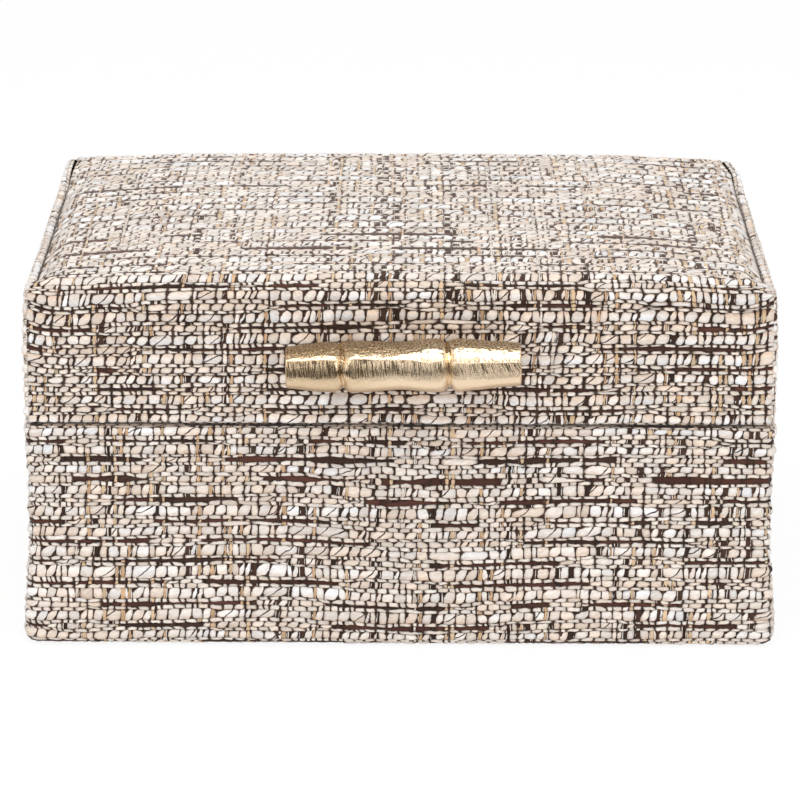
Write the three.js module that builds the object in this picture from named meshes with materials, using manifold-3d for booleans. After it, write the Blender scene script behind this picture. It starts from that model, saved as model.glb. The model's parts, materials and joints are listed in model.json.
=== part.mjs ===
// A tweed-covered storage box with a padded, hinged lid and a cast bamboo handle.
// Millimetres, +Z up, front towards -Y, origin at the middle of the underside.
import * as THREE from 'three';
import { mergeVertices } from 'three/addons/utils/BufferGeometryUtils.js';
import Module from 'manifold-3d';

const wasm = await Module();
wasm.setup();

// Overall sizes, over the cloth
const boxWidth = 200;
const boxDepth = 126;
const baseHeight = 62.7; // table to the base's rim
const seamGap = 0.6; // shadow gap between the base and the lid
const lidHeight = 36.9; // lid's rim to the top of its side rolls

// Boards
const wallThickness = 6;
const bottomThickness = 6;
const lidTopThickness = 4;

// Cloth, card, lining and felt
const clothThickness = 1.5;
const innerFoldRadius = 0.3; // inside of a fold in the cloth
const sidePanelThickness = 2.5; // card with cloth folded round it
const sidePanelCorner = 3.5; // rounding of the side panel's upper corners
const liningThickness = 2;
const floorLiningThickness = 3;
const lidLiningThickness = 3;
const liningSetback = 0.5; // lining's edge inside the rim
const feltThickness = 0.6;
const feltInset = 4;
const hemWidth = 12; // cloth turned under the bottom panel
const baseCornerRadius = 2.5;
const glueLine = 0.1; // between pieces that are glued face to face
const fitClearance = 0.3; // round pieces that fit into a cut

// Padded top, measured from the top of the side rolls
const padEdgeRise = 3; // at its front and back edges
const padCrownRise = 4.8; // in the middle
const padEdgeRadius = 6; // rounding over the front and back edges
const padCornerRadius = 2.6; // the same rounding beside the side seams
const seamDrop = 4; // how far the padding dips to the side seams
const seamReach = 7; // width of that dip
const foamInset = 1.5; // foam's edge behind the board's edge

// Hinges, two of the same
const hingeSpacing = 120;
const leafLength = 30;
const leafInset = 0.4; // leaf's front edge behind the wall's inner face
const hingeSetback = 2; // pin's axis behind the box
const barrelRadius = 2.2;
const lidKnuckleLength = 9.8;
const pinRadius = 1;
const pinClearance = 0.2;
const pinHeadRadius = 1.7;
const pinHeadLength = 0.6;
const stopAngle = 49; // each stop face from the horizontal, so the lid stops at about 95 degrees
const stopDepth = 3.4; // stop lip's flat side from the pin's axis
const stopFront = 1.5; // stop lip's inner side from the pin's axis
const leafScrewSpacing = 18;
const leafScrewRadius = 1.2;
const leafScrewHeadRadius = 2.3;
const leafScrewHeadDepth = 1.1;
const leafScrewLength = 10;
const leafScrewPoint = 2;
const slotWidth = 0.6;
const slotDepth = 0.5;

// Bamboo handle
const segmentLengths = [15.5, 27.4, 18.6];
const barEndRadius = 5.4;
const barEndEase = 0.4;
const barWaistRadius = 6.15;
const barSwellRadius = 6.7;
const swellReach = 1.1; // crest of a swelling from its groove
const shoulderReach = 3.2; // foot of a swelling from its groove
const shoulderRadius = 6.4;
const grooveRadius = 5.7;
const grooveWidth = 0.5;
const handleShift = -0.6; // middle segment's centre from the middle of the box
const handleHeight = 84.1;
const handleReach = 12; // bar's axis in front of the cloth
const handleTilt = 1.1; // degrees, right end up
const postRadius = 2.5;
const postCollarRadius = 2.8;
const postCollarLength = 1.2;
const postSeat = 5.2; // flat on the back of the bar, from its axis
const postSeatWidth = 8.4;
const handleScrewRadius = 1.5;
const handleScrewHeadRadius = 2.7;
const handleScrewHeadLength = 1.8;
const handleScrewStop = 1.4; // screw's end behind the bar's axis
const washerRadius = 3;
const washerThickness = 0.5;
const counterboreDepth = 2.8;

// Finishes
const finish = (color, roughness, metalness) => (
  new THREE.MeshStandardMaterial({ color, roughness, metalness })
);
const tweed = finish(0xc9b8a8, 0.95, 0);
const board = finish(0xb08f68, 0.85, 0);
const suede = finish(0x6e5a4c, 0.9, 0);
const foam = finish(0xe9e2cf, 0.95, 0);
const felt = finish(0x1c1a19, 0.95, 0);
const brass = finish(0xc9a35b, 0.3, 1);
const steel = finish(0x9a9a9c, 0.35, 1);

// Levels and half sizes that follow from the values above
const halfWidth = boxWidth / 2;
const halfDepth = boxDepth / 2;
const foldRadius = clothThickness + innerFoldRadius;
const skin = clothThickness + glueLine;
const baseBoardX = halfWidth - skin;
const lidBoardX = halfWidth - sidePanelThickness - glueLine;
const boardY = halfDepth - skin;
const innerY = boardY - wallThickness;
const wrapBottom = feltThickness + glueLine;
const bottomPanelLow = wrapBottom + skin;
const bottomPanelHigh = bottomPanelLow + bottomThickness;
const baseWallLow = bottomPanelHigh + glueLine;
const baseWallHigh = baseHeight - skin;
const lidRim = baseHeight + seamGap;
const rollTop = lidRim + lidHeight;
const lidWallLow = lidRim + skin;
const lidPanelHigh = rollTop + padEdgeRise - seamDrop - padCornerRadius - glueLine;
const lidPanelLow = lidPanelHigh - lidTopThickness;
const lidWallHigh = lidPanelLow - glueLine;
const coverHalf = halfWidth - sidePanelThickness - fitClearance;
const hingeY = halfDepth + hingeSetback;
const hingeZ = baseHeight + seamGap / 2;
const leafFront = innerY + leafInset;
const leafScrewY = boardY - wallThickness / 2;
const leafThickness = clothThickness;
const barAxisY = -halfDepth - handleReach;
const postXs = [-1, 1].map((side) => handleShift + side * segmentLengths[1] / 2);

const model = new THREE.Group();
const baseGroup = new THREE.Group();
const lidGroup = new THREE.Group();
model.add(baseGroup, lidGroup);

// Geometry helpers

function signedVolume(points, triangles) {
  const corner = [new THREE.Vector3(), new THREE.Vector3(), new THREE.Vector3()];
  let sum = 0;
  for (let i = 0; i < triangles.length; i += 3) {
    corner.forEach((point, k) => point.fromArray(points, triangles[i + k] * 3));
    sum += corner[0].dot(corner[1].cross(corner[2])) / 6;
  }
  return sum;
}

// Merges shared corners, drops triangles without area and turns the faces outwards.
function weld(geometry) {
  const bare = geometry.clone();
  bare.deleteAttribute('normal');
  bare.deleteAttribute('uv');
  const merged = mergeVertices(bare, 1e-4);
  const points = merged.attributes.position.array;
  const kept = [];
  for (let i = 0; i < merged.index.count; i += 3) {
    const [a, b, c] = [0, 1, 2].map((k) => merged.index.getX(i + k));
    if (a !== b && b !== c && c !== a) kept.push(a, b, c);
  }
  if (signedVolume(points, kept) < 0) kept.reverse();
  return surface(points, kept);
}

function surface(points, triangles) {
  const geometry = new THREE.BufferGeometry();
  geometry.setAttribute('position', new THREE.BufferAttribute(Float32Array.from(points), 3));
  geometry.setIndex(Array.from(triangles));
  geometry.computeVertexNormals();
  return geometry;
}

function solidOf(geometry) {
  const welded = weld(geometry);
  const vertProperties = welded.attributes.position.array;
  const triVerts = Uint32Array.from(welded.index.array);
  return new wasm.Manifold(new wasm.Mesh({ numProp: 3, vertProperties, triVerts }));
}

function geometryOf(solid) {
  const mesh = solid.getMesh();
  return surface(mesh.vertProperties, mesh.triVerts);
}

const join = (first, ...rest) => (
  geometryOf(rest.reduce((sum, other) => sum.add(solidOf(other)), solidOf(first)))
);
const cut = (first, ...rest) => (
  geometryOf(rest.reduce((left, other) => left.subtract(solidOf(other)), solidOf(first)))
);

function boxBetween(low, high) {
  const size = high.map((value, i) => value - low[i]);
  const middle = high.map((value, i) => (value + low[i]) / 2);
  return new THREE.BoxGeometry(...size).translate(...middle);
}

function roundedOutline(halfX, low, high, radius, lowRadius = radius) {
  const outline = new THREE.Shape();
  outline.absarc(halfX - lowRadius, low + lowRadius, lowRadius, -Math.PI / 2, 0);
  outline.absarc(halfX - radius, high - radius, radius, 0, Math.PI / 2);
  outline.absarc(radius - halfX, high - radius, radius, Math.PI / 2, Math.PI);
  outline.absarc(lowRadius - halfX, low + lowRadius, lowRadius, Math.PI, Math.PI * 1.5);
  outline.closePath();
  return outline;
}

const alongX = new THREE.Matrix4().makeBasis(
  new THREE.Vector3(0, 1, 0),
  new THREE.Vector3(0, 0, 1),
  new THREE.Vector3(1, 0, 0),
);

// Extrudes an outline drawn in Y and Z from one X to another.
function extrudeAlongX(outline, fromX, toX, curveSegments = 6) {
  const settings = { depth: toX - fromX, bevelEnabled: false, curveSegments };
  return new THREE.ExtrudeGeometry(outline, settings).applyMatrix4(alongX).translate(fromX, 0, 0);
}

function rodAlongX(radius, fromX, toX, y, z) {
  const circle = new THREE.Shape();
  circle.absarc(y, z, radius, 0, Math.PI * 2);
  return extrudeAlongX(circle, fromX, toX, 12);
}

function rodAlongY(radius, fromY, toY, x, z) {
  const length = toY - fromY;
  return new THREE.CylinderGeometry(radius, radius, length, 20).translate(x, fromY + length / 2, z);
}

function turned(profile, segments = 16) {
  return new THREE.LatheGeometry(profile.map(([r, along]) => new THREE.Vector2(r, along)), segments);
}

function add(group, name, geometry, material) {
  const mesh = new THREE.Mesh(weld(geometry), material);
  mesh.name = name;
  group.add(mesh);
}

// Hinge leaf screws: a countersunk head at z = 0 with the point straight down.

function leafScrew(growth) {
  const head = leafScrewHeadRadius + growth;
  const shank = leafScrewRadius + growth;
  const end = -leafScrewLength - growth;
  const profile = [
    [0, end],
    [shank, end + leafScrewPoint],
    [shank, -leafScrewHeadDepth],
    [head, 0],
    [0, 0],
  ];
  return turned(profile, 12).rotateX(Math.PI / 2);
}

function slottedLeafScrew() {
  const reach = leafScrewHeadRadius + 1;
  const slot = boxBetween([-reach, -slotWidth / 2, -slotDepth], [reach, slotWidth / 2, 1]);
  return cut(leafScrew(0), slot);
}

const hinges = [
  { side: 'left', x: -hingeSpacing / 2 },
  { side: 'right', x: hingeSpacing / 2 },
];
const leafScrewXs = (hinge) => [-1, 1].map((end) => hinge.x + end * leafScrewSpacing / 2);
const downIntoBase = (geometry, x) => geometry.translate(x, leafScrewY, baseHeight);
const upIntoLid = (geometry, x) => geometry.rotateX(Math.PI).translate(x, leafScrewY, lidRim);
const allScrewXs = hinges.flatMap(leafScrewXs);
const screwHole = () => leafScrew(fitClearance);

// Base boards

function addBaseBoards() {
  const frontWall = boxBetween([-baseBoardX, -boardY, baseWallLow], [baseBoardX, -innerY, baseWallHigh]);
  const backWall = boxBetween([-baseBoardX, innerY, baseWallLow], [baseBoardX, boardY, baseWallHigh]);
  const pilotHoles = allScrewXs.map((x) => downIntoBase(screwHole(), x));
  add(baseGroup, 'base_front_wall', frontWall, board);
  add(baseGroup, 'base_back_wall', cut(backWall, ...pilotHoles), board);
  const sideEnd = innerY - glueLine;
  const sideIn = baseBoardX - wallThickness;
  const leftWall = boxBetween([-baseBoardX, -sideEnd, baseWallLow], [-sideIn, sideEnd, baseWallHigh]);
  const rightWall = boxBetween([sideIn, -sideEnd, baseWallLow], [baseBoardX, sideEnd, baseWallHigh]);
  add(baseGroup, 'base_left_wall', leftWall, board);
  add(baseGroup, 'base_right_wall', rightWall, board);
  const bottom = boxBetween([-baseBoardX, -boardY, bottomPanelLow], [baseBoardX, boardY, bottomPanelHigh]);
  add(baseGroup, 'base_bottom_panel', bottom, board);
}

// Tweed band round the base, turned in over the rim and under the bottom panel

function leafNotch(hinge, low, high) {
  const reach = leafLength / 2 + fitClearance;
  return boxBetween([hinge.x - reach, innerY - 1, low], [hinge.x + reach, hingeY, high]);
}

function addBaseWrap() {
  const outline = roundedOutline(
    halfWidth - foldRadius,
    foldRadius - halfDepth,
    halfDepth - foldRadius,
    baseCornerRadius - foldRadius,
  );
  const rounded = new THREE.ExtrudeGeometry(outline, {
    depth: baseHeight - wrapBottom - 2 * foldRadius,
    bevelThickness: foldRadius,
    bevelSize: foldRadius,
    bevelSegments: 3,
    curveSegments: 4,
  }).translate(0, 0, wrapBottom + foldRadius);
  const innerX = baseBoardX - wallThickness;
  const inside = boxBetween(
    [-baseBoardX - glueLine, -boardY - glueLine, wrapBottom + clothThickness],
    [baseBoardX + glueLine, boardY + glueLine, baseHeight - clothThickness],
  );
  const mouth = boxBetween([-innerX, -innerY, baseWallLow], [innerX, innerY, baseHeight + 1]);
  const hemX = baseBoardX - hemWidth;
  const hemY = boardY - hemWidth;
  const underside = boxBetween([-hemX, -hemY, 0], [hemX, hemY, baseWallLow]);
  const notches = hinges.map((hinge) => leafNotch(hinge, baseWallHigh, baseHeight + 1));
  add(baseGroup, 'base_wrap', cut(rounded, inside, mouth, underside, ...notches), tweed);
}

// Felt under the box and the lining inside the base

function addBaseLining() {
  const feltX = halfWidth - feltInset;
  const feltY = halfDepth - feltInset;
  add(baseGroup, 'underside_felt', boxBetween([-feltX, -feltY, 0], [feltX, feltY, feltThickness]), felt);
  const outX = baseBoardX - wallThickness - glueLine;
  const floorHigh = baseWallLow + floorLiningThickness;
  const floor = boxBetween(
    [-outX, glueLine - innerY, baseWallLow],
    [outX, innerY - glueLine, floorHigh],
  );
  add(baseGroup, 'base_floor_lining', floor, suede);
  addLiningCards(baseGroup, 'base', outX, floorHigh + glueLine, baseHeight - liningSetback);
}

// Four lining cards inside the walls; the side cards stand between the front and back ones.
function addLiningCards(group, prefix, outX, low, high) {
  const outY = innerY - glueLine;
  const inX = outX - liningThickness;
  const inY = outY - liningThickness;
  const sideEnd = inY - glueLine;
  add(group, `${prefix}_lining_front`, boxBetween([-outX, -outY, low], [outX, -inY, high]), suede);
  add(group, `${prefix}_lining_back`, boxBetween([-outX, inY, low], [outX, outY, high]), suede);
  add(group, `${prefix}_lining_left`, boxBetween([-outX, -sideEnd, low], [-inX, sideEnd, high]), suede);
  add(group, `${prefix}_lining_right`, boxBetween([inX, -sideEnd, low], [outX, sideEnd, high]), suede);
}

// Lid boards

function addLidBoards() {
  const frontWall = boxBetween([-lidBoardX, -boardY, lidWallLow], [lidBoardX, -innerY, lidWallHigh]);
  const handleHoles = postXs.flatMap((x) => [
    rodAlongY(handleScrewRadius + fitClearance, -halfDepth, -innerY + 1, x, handleHeight),
    rodAlongY(washerRadius + fitClearance, -innerY - counterboreDepth, -innerY + 1, x, handleHeight),
  ]);
  add(lidGroup, 'lid_front_wall', cut(frontWall, ...handleHoles), board);
  const backWall = boxBetween([-lidBoardX, innerY, lidWallLow], [lidBoardX, boardY, lidWallHigh]);
  const pilotHoles = allScrewXs.map((x) => upIntoLid(screwHole(), x));
  add(lidGroup, 'lid_back_wall', cut(backWall, ...pilotHoles), board);
  const sideEnd = innerY - glueLine;
  const sideIn = lidBoardX - wallThickness;
  const leftWall = boxBetween([-lidBoardX, -sideEnd, lidWallLow], [-sideIn, sideEnd, lidWallHigh]);
  const rightWall = boxBetween([sideIn, -sideEnd, lidWallLow], [lidBoardX, sideEnd, lidWallHigh]);
  add(lidGroup, 'lid_left_wall', leftWall, board);
  add(lidGroup, 'lid_right_wall', rightWall, board);
  const top = boxBetween([-lidBoardX, -boardY, lidPanelLow], [lidBoardX, boardY, lidPanelHigh]);
  add(lidGroup, 'lid_top_panel', top, board);
}

// Form of the padded top: a low crown with rounded edges that dips to the two side seams

const sideDip = (x) => {
  const share = Math.max(0, (Math.abs(x) - coverHalf + seamReach) / seamReach);
  return share * share;
};
const edgeRadiusAt = (x) => padEdgeRadius + (padCornerRadius - padEdgeRadius) * sideDip(x);

function padHeight(x, y) {
  const bulge = (1 - (x / coverHalf) ** 2) * (1 - (y / halfDepth) ** 2);
  const rise = padEdgeRise + (padCrownRise - padEdgeRise) * bulge;
  return rollTop + rise - seamDrop * sideDip(x);
}

// One strip of the padded top's section at x, inset by the thickness of what covers it.
function padSection(x, inset, stripCount, arcCount) {
  const radius = edgeRadiusAt(x);
  const centreY = halfDepth - radius;
  const front = [];
  for (let k = 0; k < arcCount; k += 1) {
    const angle = (Math.PI / 2) * (k / arcCount);
    const reach = radius - inset;
    const level = padHeight(x, centreY) - radius;
    front.push([-centreY - reach * Math.cos(angle), level + reach * Math.sin(angle)]);
  }
  const top = [];
  for (let k = 0; k <= stripCount; k += 1) {
    const y = centreY * (2 * (k / stripCount) - 1);
    top.push([y, padHeight(x, y) - inset]);
  }
  const back = front.map(([y, z]) => [-y, z]).reverse();
  return [...front, ...top, ...back];
}

// Stations across the lid, closer together where the padding dips to the seams.
function stationsAcross(half) {
  const flat = half - seamReach;
  const right = [0, 0.35, 0.7, 0.9].map((share) => share * flat);
  for (let k = 0; k <= 4; k += 1) right.push(flat + seamReach * (k / 4));
  const left = right.slice(1).reverse().map((x) => -x);
  return [...left, ...right];
}

// Closed solid between two grids of points with the same rows and columns.
function solidBetween(outer, inner) {
  const rows = outer.length;
  const columns = outer[0].length;
  const points = [...outer, ...inner].flat(2);
  const at = (layer, i, j) => (layer * rows + i) * columns + j;
  const triangles = [];
  const quad = (a, b, c, d) => triangles.push(a, b, c, a, c, d);
  for (let i = 0; i < rows - 1; i += 1) {
    for (let j = 0; j < columns - 1; j += 1) {
      quad(at(0, i, j), at(0, i + 1, j), at(0, i + 1, j + 1), at(0, i, j + 1));
      quad(at(1, i, j), at(1, i, j + 1), at(1, i + 1, j + 1), at(1, i + 1, j));
    }
    quad(at(0, i, 0), at(1, i, 0), at(1, i + 1, 0), at(0, i + 1, 0));
    const last = columns - 1;
    quad(at(0, i, last), at(0, i + 1, last), at(1, i + 1, last), at(1, i, last));
  }
  for (let j = 0; j < columns - 1; j += 1) {
    quad(at(0, 0, j), at(0, 0, j + 1), at(1, 0, j + 1), at(1, 0, j));
    const last = rows - 1;
    quad(at(0, last, j), at(1, last, j), at(1, last, j + 1), at(0, last, j + 1));
  }
  return surface(points, triangles);
}

// Foam between the lid's top board and the tweed

function addFoam() {
  const foamHalf = coverHalf - fitClearance;
  const foamEdge = boardY - foamInset;
  const foamLow = lidPanelHigh + glueLine;
  const steps = 14;
  const across = stationsAcross(foamHalf);
  const along = Array.from({ length: steps + 1 }, (_, k) => foamEdge * Math.sin((k / steps - 0.5) * Math.PI));
  const topAt = (x, y) => {
    const radius = edgeRadiusAt(x);
    const past = Math.max(0, Math.abs(y) - (halfDepth - radius));
    const reach = radius - skin;
    const edge = Math.min(Math.abs(y), halfDepth - radius);
    return padHeight(x, edge) - radius + Math.sqrt(reach * reach - past * past);
  };
  const upper = across.map((x) => along.map((y) => [x, y, topAt(x, y)]));
  const lower = across.map((x) => along.map((y) => [x, y, foamLow]));
  add(lidGroup, 'lid_foam_pad', solidBetween(upper, lower), foam);
}

// Tweed over the padded top, down the front and back, and turned in under the lid's rim

function coverSection(x, inset) {
  const fold = [];
  const foldSteps = 3;
  for (let k = 0; k <= foldSteps; k += 1) {
    const angle = (Math.PI / 2) * (k / foldSteps);
    const reach = foldRadius - inset;
    const y = foldRadius - halfDepth - reach * Math.sin(angle);
    fold.push([y, lidRim + foldRadius - reach * Math.cos(angle)]);
  }
  const frontHem = [[-innerY, lidRim + inset], ...fold];
  const backHem = frontHem.map(([y, z]) => [-y, z]).reverse();
  return [...frontHem, ...padSection(x, inset, 10, 4), ...backHem];
}

function addCover() {
  const across = stationsAcross(coverHalf);
  const layer = (inset) => across.map((x) => coverSection(x, inset).map(([y, z]) => [x, y, z]));
  const shell = solidBetween(layer(0), layer(clothThickness));
  const screwHoles = postXs.map((x) => (
    rodAlongY(handleScrewRadius + fitClearance, -halfDepth - 1, -boardY, x, handleHeight)
  ));
  const notches = hinges.map((hinge) => leafNotch(hinge, lidRim - 1, lidWallLow));
  add(lidGroup, 'lid_cover', cut(shell, ...screwHoles, ...notches), tweed);
}

// Cloth-covered side panels: a rolled edge all round and a hem under the lid's side wall

function addSidePanel(side, name) {
  const rollRadius = sidePanelThickness / 2;
  const outline = roundedOutline(
    halfDepth - rollRadius,
    lidRim + rollRadius,
    rollTop - rollRadius,
    sidePanelCorner - rollRadius,
    innerFoldRadius,
  );
  const middleX = side * (halfWidth - rollRadius);
  const plate = new THREE.ExtrudeGeometry(outline, {
    depth: glueLine,
    bevelThickness: rollRadius - glueLine / 2,
    bevelSize: rollRadius,
    bevelSegments: 3,
    curveSegments: 4,
  }).translate(0, 0, -glueLine / 2).applyMatrix4(alongX).translate(middleX, 0, 0);
  const hemEnd = innerY - fitClearance;
  const hemXs = [side * (lidBoardX - wallThickness), middleX].sort((a, b) => a - b);
  const hem = boxBetween([hemXs[0], -hemEnd, lidRim], [hemXs[1], hemEnd, lidRim + clothThickness]);
  add(lidGroup, name, join(plate, hem), tweed);
}

// Lining inside the lid

function addLidLining() {
  const outX = lidBoardX - wallThickness - glueLine;
  const padLow = lidWallHigh - lidLiningThickness;
  const pad = boxBetween([-outX, glueLine - innerY, padLow], [outX, innerY - glueLine, lidWallHigh]);
  add(lidGroup, 'lid_top_lining', pad, suede);
  addLiningCards(lidGroup, 'lid', outX, lidRim + liningSetback, padLow - glueLine);
}

// Hinges: each leaf lies in the cloth of its rim, and its lip stops the lid when the lips meet

function addHinge(hinge) {
  const half = leafLength / 2;
  const knuckleEnd = lidKnuckleLength / 2;
  const knuckleGap = fitClearance;
  const low = hinge.x - half;
  const high = hinge.x + half;
  const slope = Math.tan(THREE.MathUtils.degToRad(stopAngle));
  const rod = (radius, fromX, toX) => rodAlongX(radius, fromX, toX, hingeY, hingeZ);

  // The outline of a lip: its stop face runs from the barrel to the lip's flat side.
  const lip = (up) => {
    const start = barrelRadius / 2;
    const outline = new THREE.Shape();
    outline.moveTo(hingeY - stopFront, hingeZ + up * start);
    outline.lineTo(hingeY - stopFront, hingeZ + up * stopDepth);
    outline.lineTo(hingeY + stopDepth / slope, hingeZ + up * stopDepth);
    outline.lineTo(hingeY + start / slope, hingeZ + up * start);
    outline.closePath();
    return extrudeAlongX(outline, low, high);
  };
  const room = barrelRadius + fitClearance;
  const bore = rod(pinRadius + pinClearance, low - 1, high + 1);
  const outerKnuckles = [
    [low, hinge.x - knuckleEnd - knuckleGap],
    [hinge.x + knuckleEnd + knuckleGap, high],
  ];
  const screwXs = leafScrewXs(hinge);

  const basePlate = boxBetween([low, leafFront, baseHeight - leafThickness], [high, hingeY, baseHeight]);
  const baseRoom = rod(room, outerKnuckles[0][1], outerKnuckles[1][0]);
  const baseArm = cut(join(basePlate, lip(-1)), baseRoom);
  const baseBarrels = outerKnuckles.map(([from, to]) => rod(barrelRadius, from, to));
  const baseHoles = screwXs.map((x) => downIntoBase(screwHole(), x));
  const baseLeaf = cut(join(baseArm, ...baseBarrels), bore, ...baseHoles);
  add(baseGroup, `hinge_${hinge.side}_base_leaf`, baseLeaf, brass);

  const lidPlate = boxBetween([low, leafFront, lidRim], [high, hingeY, lidRim + leafThickness]);
  const lidRooms = [
    rod(room, low - 1, hinge.x - knuckleEnd),
    rod(room, hinge.x + knuckleEnd, high + 1),
  ];
  const lidArm = cut(join(lidPlate, lip(1)), ...lidRooms);
  const lidBarrel = rod(barrelRadius, hinge.x - knuckleEnd, hinge.x + knuckleEnd);
  const lidHoles = screwXs.map((x) => upIntoLid(screwHole(), x));
  const lidLeaf = cut(join(lidArm, lidBarrel), bore, ...lidHoles);
  add(lidGroup, `hinge_${hinge.side}_lid_leaf`, lidLeaf, brass);

  const headGap = glueLine;
  const pin = join(
    rod(pinRadius, low - headGap - pinHeadLength, high + headGap + pinHeadLength),
    rod(pinHeadRadius, low - headGap - pinHeadLength, low - headGap),
    rod(pinHeadRadius, high + headGap, high + headGap + pinHeadLength),
  );
  add(baseGroup, `hinge_${hinge.side}_pin`, pin, brass);

  screwXs.forEach((x, k) => {
    const number = k + 1;
    const baseScrew = downIntoBase(slottedLeafScrew(), x);
    add(baseGroup, `hinge_${hinge.side}_base_screw_${number}`, baseScrew, brass);
    const lidScrew = upIntoLid(slottedLeafScrew(), x);
    add(lidGroup, `hinge_${hinge.side}_lid_screw_${number}`, lidScrew, brass);
  });
}

// Bamboo bar: three segments, swollen on both sides of the two grooves between them

function barProfile() {
  const [left, middle, right] = segmentLengths;
  const grooves = [-middle / 2, middle / 2];
  const start = grooves[0] - left;
  const end = grooves[1] + right;
  const halfGroove = grooveWidth / 2;
  const profile = [[0, start], [barEndRadius - barEndEase, start], [barEndRadius, start + barEndEase]];
  const knot = (at) => [
    [shoulderRadius, at - shoulderReach],
    [barSwellRadius, at - swellReach],
    [grooveRadius, at - halfGroove],
    [grooveRadius, at + halfGroove],
    [barSwellRadius, at + swellReach],
    [shoulderRadius, at + shoulderReach],
  ];
  profile.push(...knot(grooves[0]));
  profile.push([barWaistRadius, 0]);
  profile.push(...knot(grooves[1]));
  profile.push([barEndRadius, end - barEndEase], [barEndRadius - barEndEase, end], [0, end]);
  return profile;
}

function addHandle() {
  const bar = turned(barProfile(), 24)
    .rotateZ(-Math.PI / 2)
    .rotateY(-THREE.MathUtils.degToRad(handleTilt))
    .translate(handleShift, barAxisY, handleHeight);
  const seatY = barAxisY + postSeat;
  const holeRadius = handleScrewRadius + fitClearance;
  const cuts = postXs.flatMap((x) => [
    boxBetween(
      [x - postSeatWidth / 2, seatY, handleHeight - barSwellRadius * 2],
      [x + postSeatWidth / 2, seatY + postSeat, handleHeight + barSwellRadius * 2],
    ),
    rodAlongY(holeRadius, barAxisY + handleScrewStop - fitClearance, seatY + 1, x, handleHeight),
  ]);
  add(lidGroup, 'handle_bar', cut(bar, ...cuts), brass);

  const clothFace = -halfDepth - glueLine;
  const collarEnd = clothFace - postCollarLength;
  const postEnd = seatY + glueLine;
  const postProfile = [
    [holeRadius, postEnd],
    [postRadius, postEnd],
    [postRadius, collarEnd],
    [postCollarRadius, collarEnd],
    [postCollarRadius, clothFace],
    [holeRadius, clothFace],
    [holeRadius, postEnd],
  ];
  const washerLow = -innerY - counterboreDepth + glueLine;
  const washerHigh = washerLow + washerThickness;
  const washerProfile = [
    [holeRadius, washerLow],
    [washerRadius, washerLow],
    [washerRadius, washerHigh],
    [holeRadius, washerHigh],
    [holeRadius, washerLow],
  ];
  const headLow = washerHigh + glueLine;
  const headHigh = headLow + handleScrewHeadLength;
  const screwProfile = [
    [0, barAxisY + handleScrewStop],
    [handleScrewRadius, barAxisY + handleScrewStop],
    [handleScrewRadius, headLow],
    [handleScrewHeadRadius, headLow],
    [handleScrewHeadRadius, headHigh],
    [0, headHigh],
  ];
  const sides = ['left', 'right'];
  postXs.forEach((x, k) => {
    const place = (profile) => turned(profile, 16).translate(x, 0, handleHeight);
    add(lidGroup, `handle_post_${sides[k]}`, place(postProfile), brass);
    add(lidGroup, `handle_washer_${sides[k]}`, place(washerProfile), steel);
    add(lidGroup, `handle_screw_${sides[k]}`, place(screwProfile), steel);
  });
}

addBaseBoards();
addBaseWrap();
addBaseLining();
addLidBoards();
addFoam();
addCover();
addSidePanel(-1, 'lid_side_panel_left');
addSidePanel(1, 'lid_side_panel_right');
addLidLining();
hinges.forEach(addHinge);
addHandle();

export default model;
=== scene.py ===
import json
import math
import bpy
import numpy as np
from mathutils import Matrix, Vector


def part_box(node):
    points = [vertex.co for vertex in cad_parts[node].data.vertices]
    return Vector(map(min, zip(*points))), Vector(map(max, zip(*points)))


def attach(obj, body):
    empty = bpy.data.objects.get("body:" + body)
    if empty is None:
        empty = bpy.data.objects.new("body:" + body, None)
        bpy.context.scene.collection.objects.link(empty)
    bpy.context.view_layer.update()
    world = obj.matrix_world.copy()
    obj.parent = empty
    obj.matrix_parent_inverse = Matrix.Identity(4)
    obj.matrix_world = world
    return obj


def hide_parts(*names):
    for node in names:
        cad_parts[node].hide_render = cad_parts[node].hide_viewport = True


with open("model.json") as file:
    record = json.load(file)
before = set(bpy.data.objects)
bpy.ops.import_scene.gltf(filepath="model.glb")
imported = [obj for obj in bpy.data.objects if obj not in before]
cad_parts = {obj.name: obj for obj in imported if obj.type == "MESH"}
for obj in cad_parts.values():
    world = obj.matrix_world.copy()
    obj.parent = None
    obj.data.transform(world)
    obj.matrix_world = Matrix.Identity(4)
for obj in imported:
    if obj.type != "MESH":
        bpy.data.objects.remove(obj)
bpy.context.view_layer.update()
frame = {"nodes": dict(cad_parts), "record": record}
mm = 0.001  # the cloth and the handle are worked out in millimetres


def srgb(red, green, blue):
    # linear colour of an sRGB one, each 0 to 255
    def linear(value):
        share = value / 255
        return share / 12.92 if share <= 0.04045 else ((share + 0.055) / 1.055) ** 2.4
    return (linear(red), linear(green), linear(blue))


def nodeBox(node):
    low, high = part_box(node)
    return np.array(low) / mm, np.array(high) / mm


def opaque(colour):
    return (*colour, 1.0)


def smooth(share):
    share = np.clip(share, 0, 1)
    return share * share * (3 - 2 * share)


def fade(place, start, reach):
    # 0 up to the start, 1 a reach further on
    return smooth((place - start) / reach)


# Shader nodes

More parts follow.
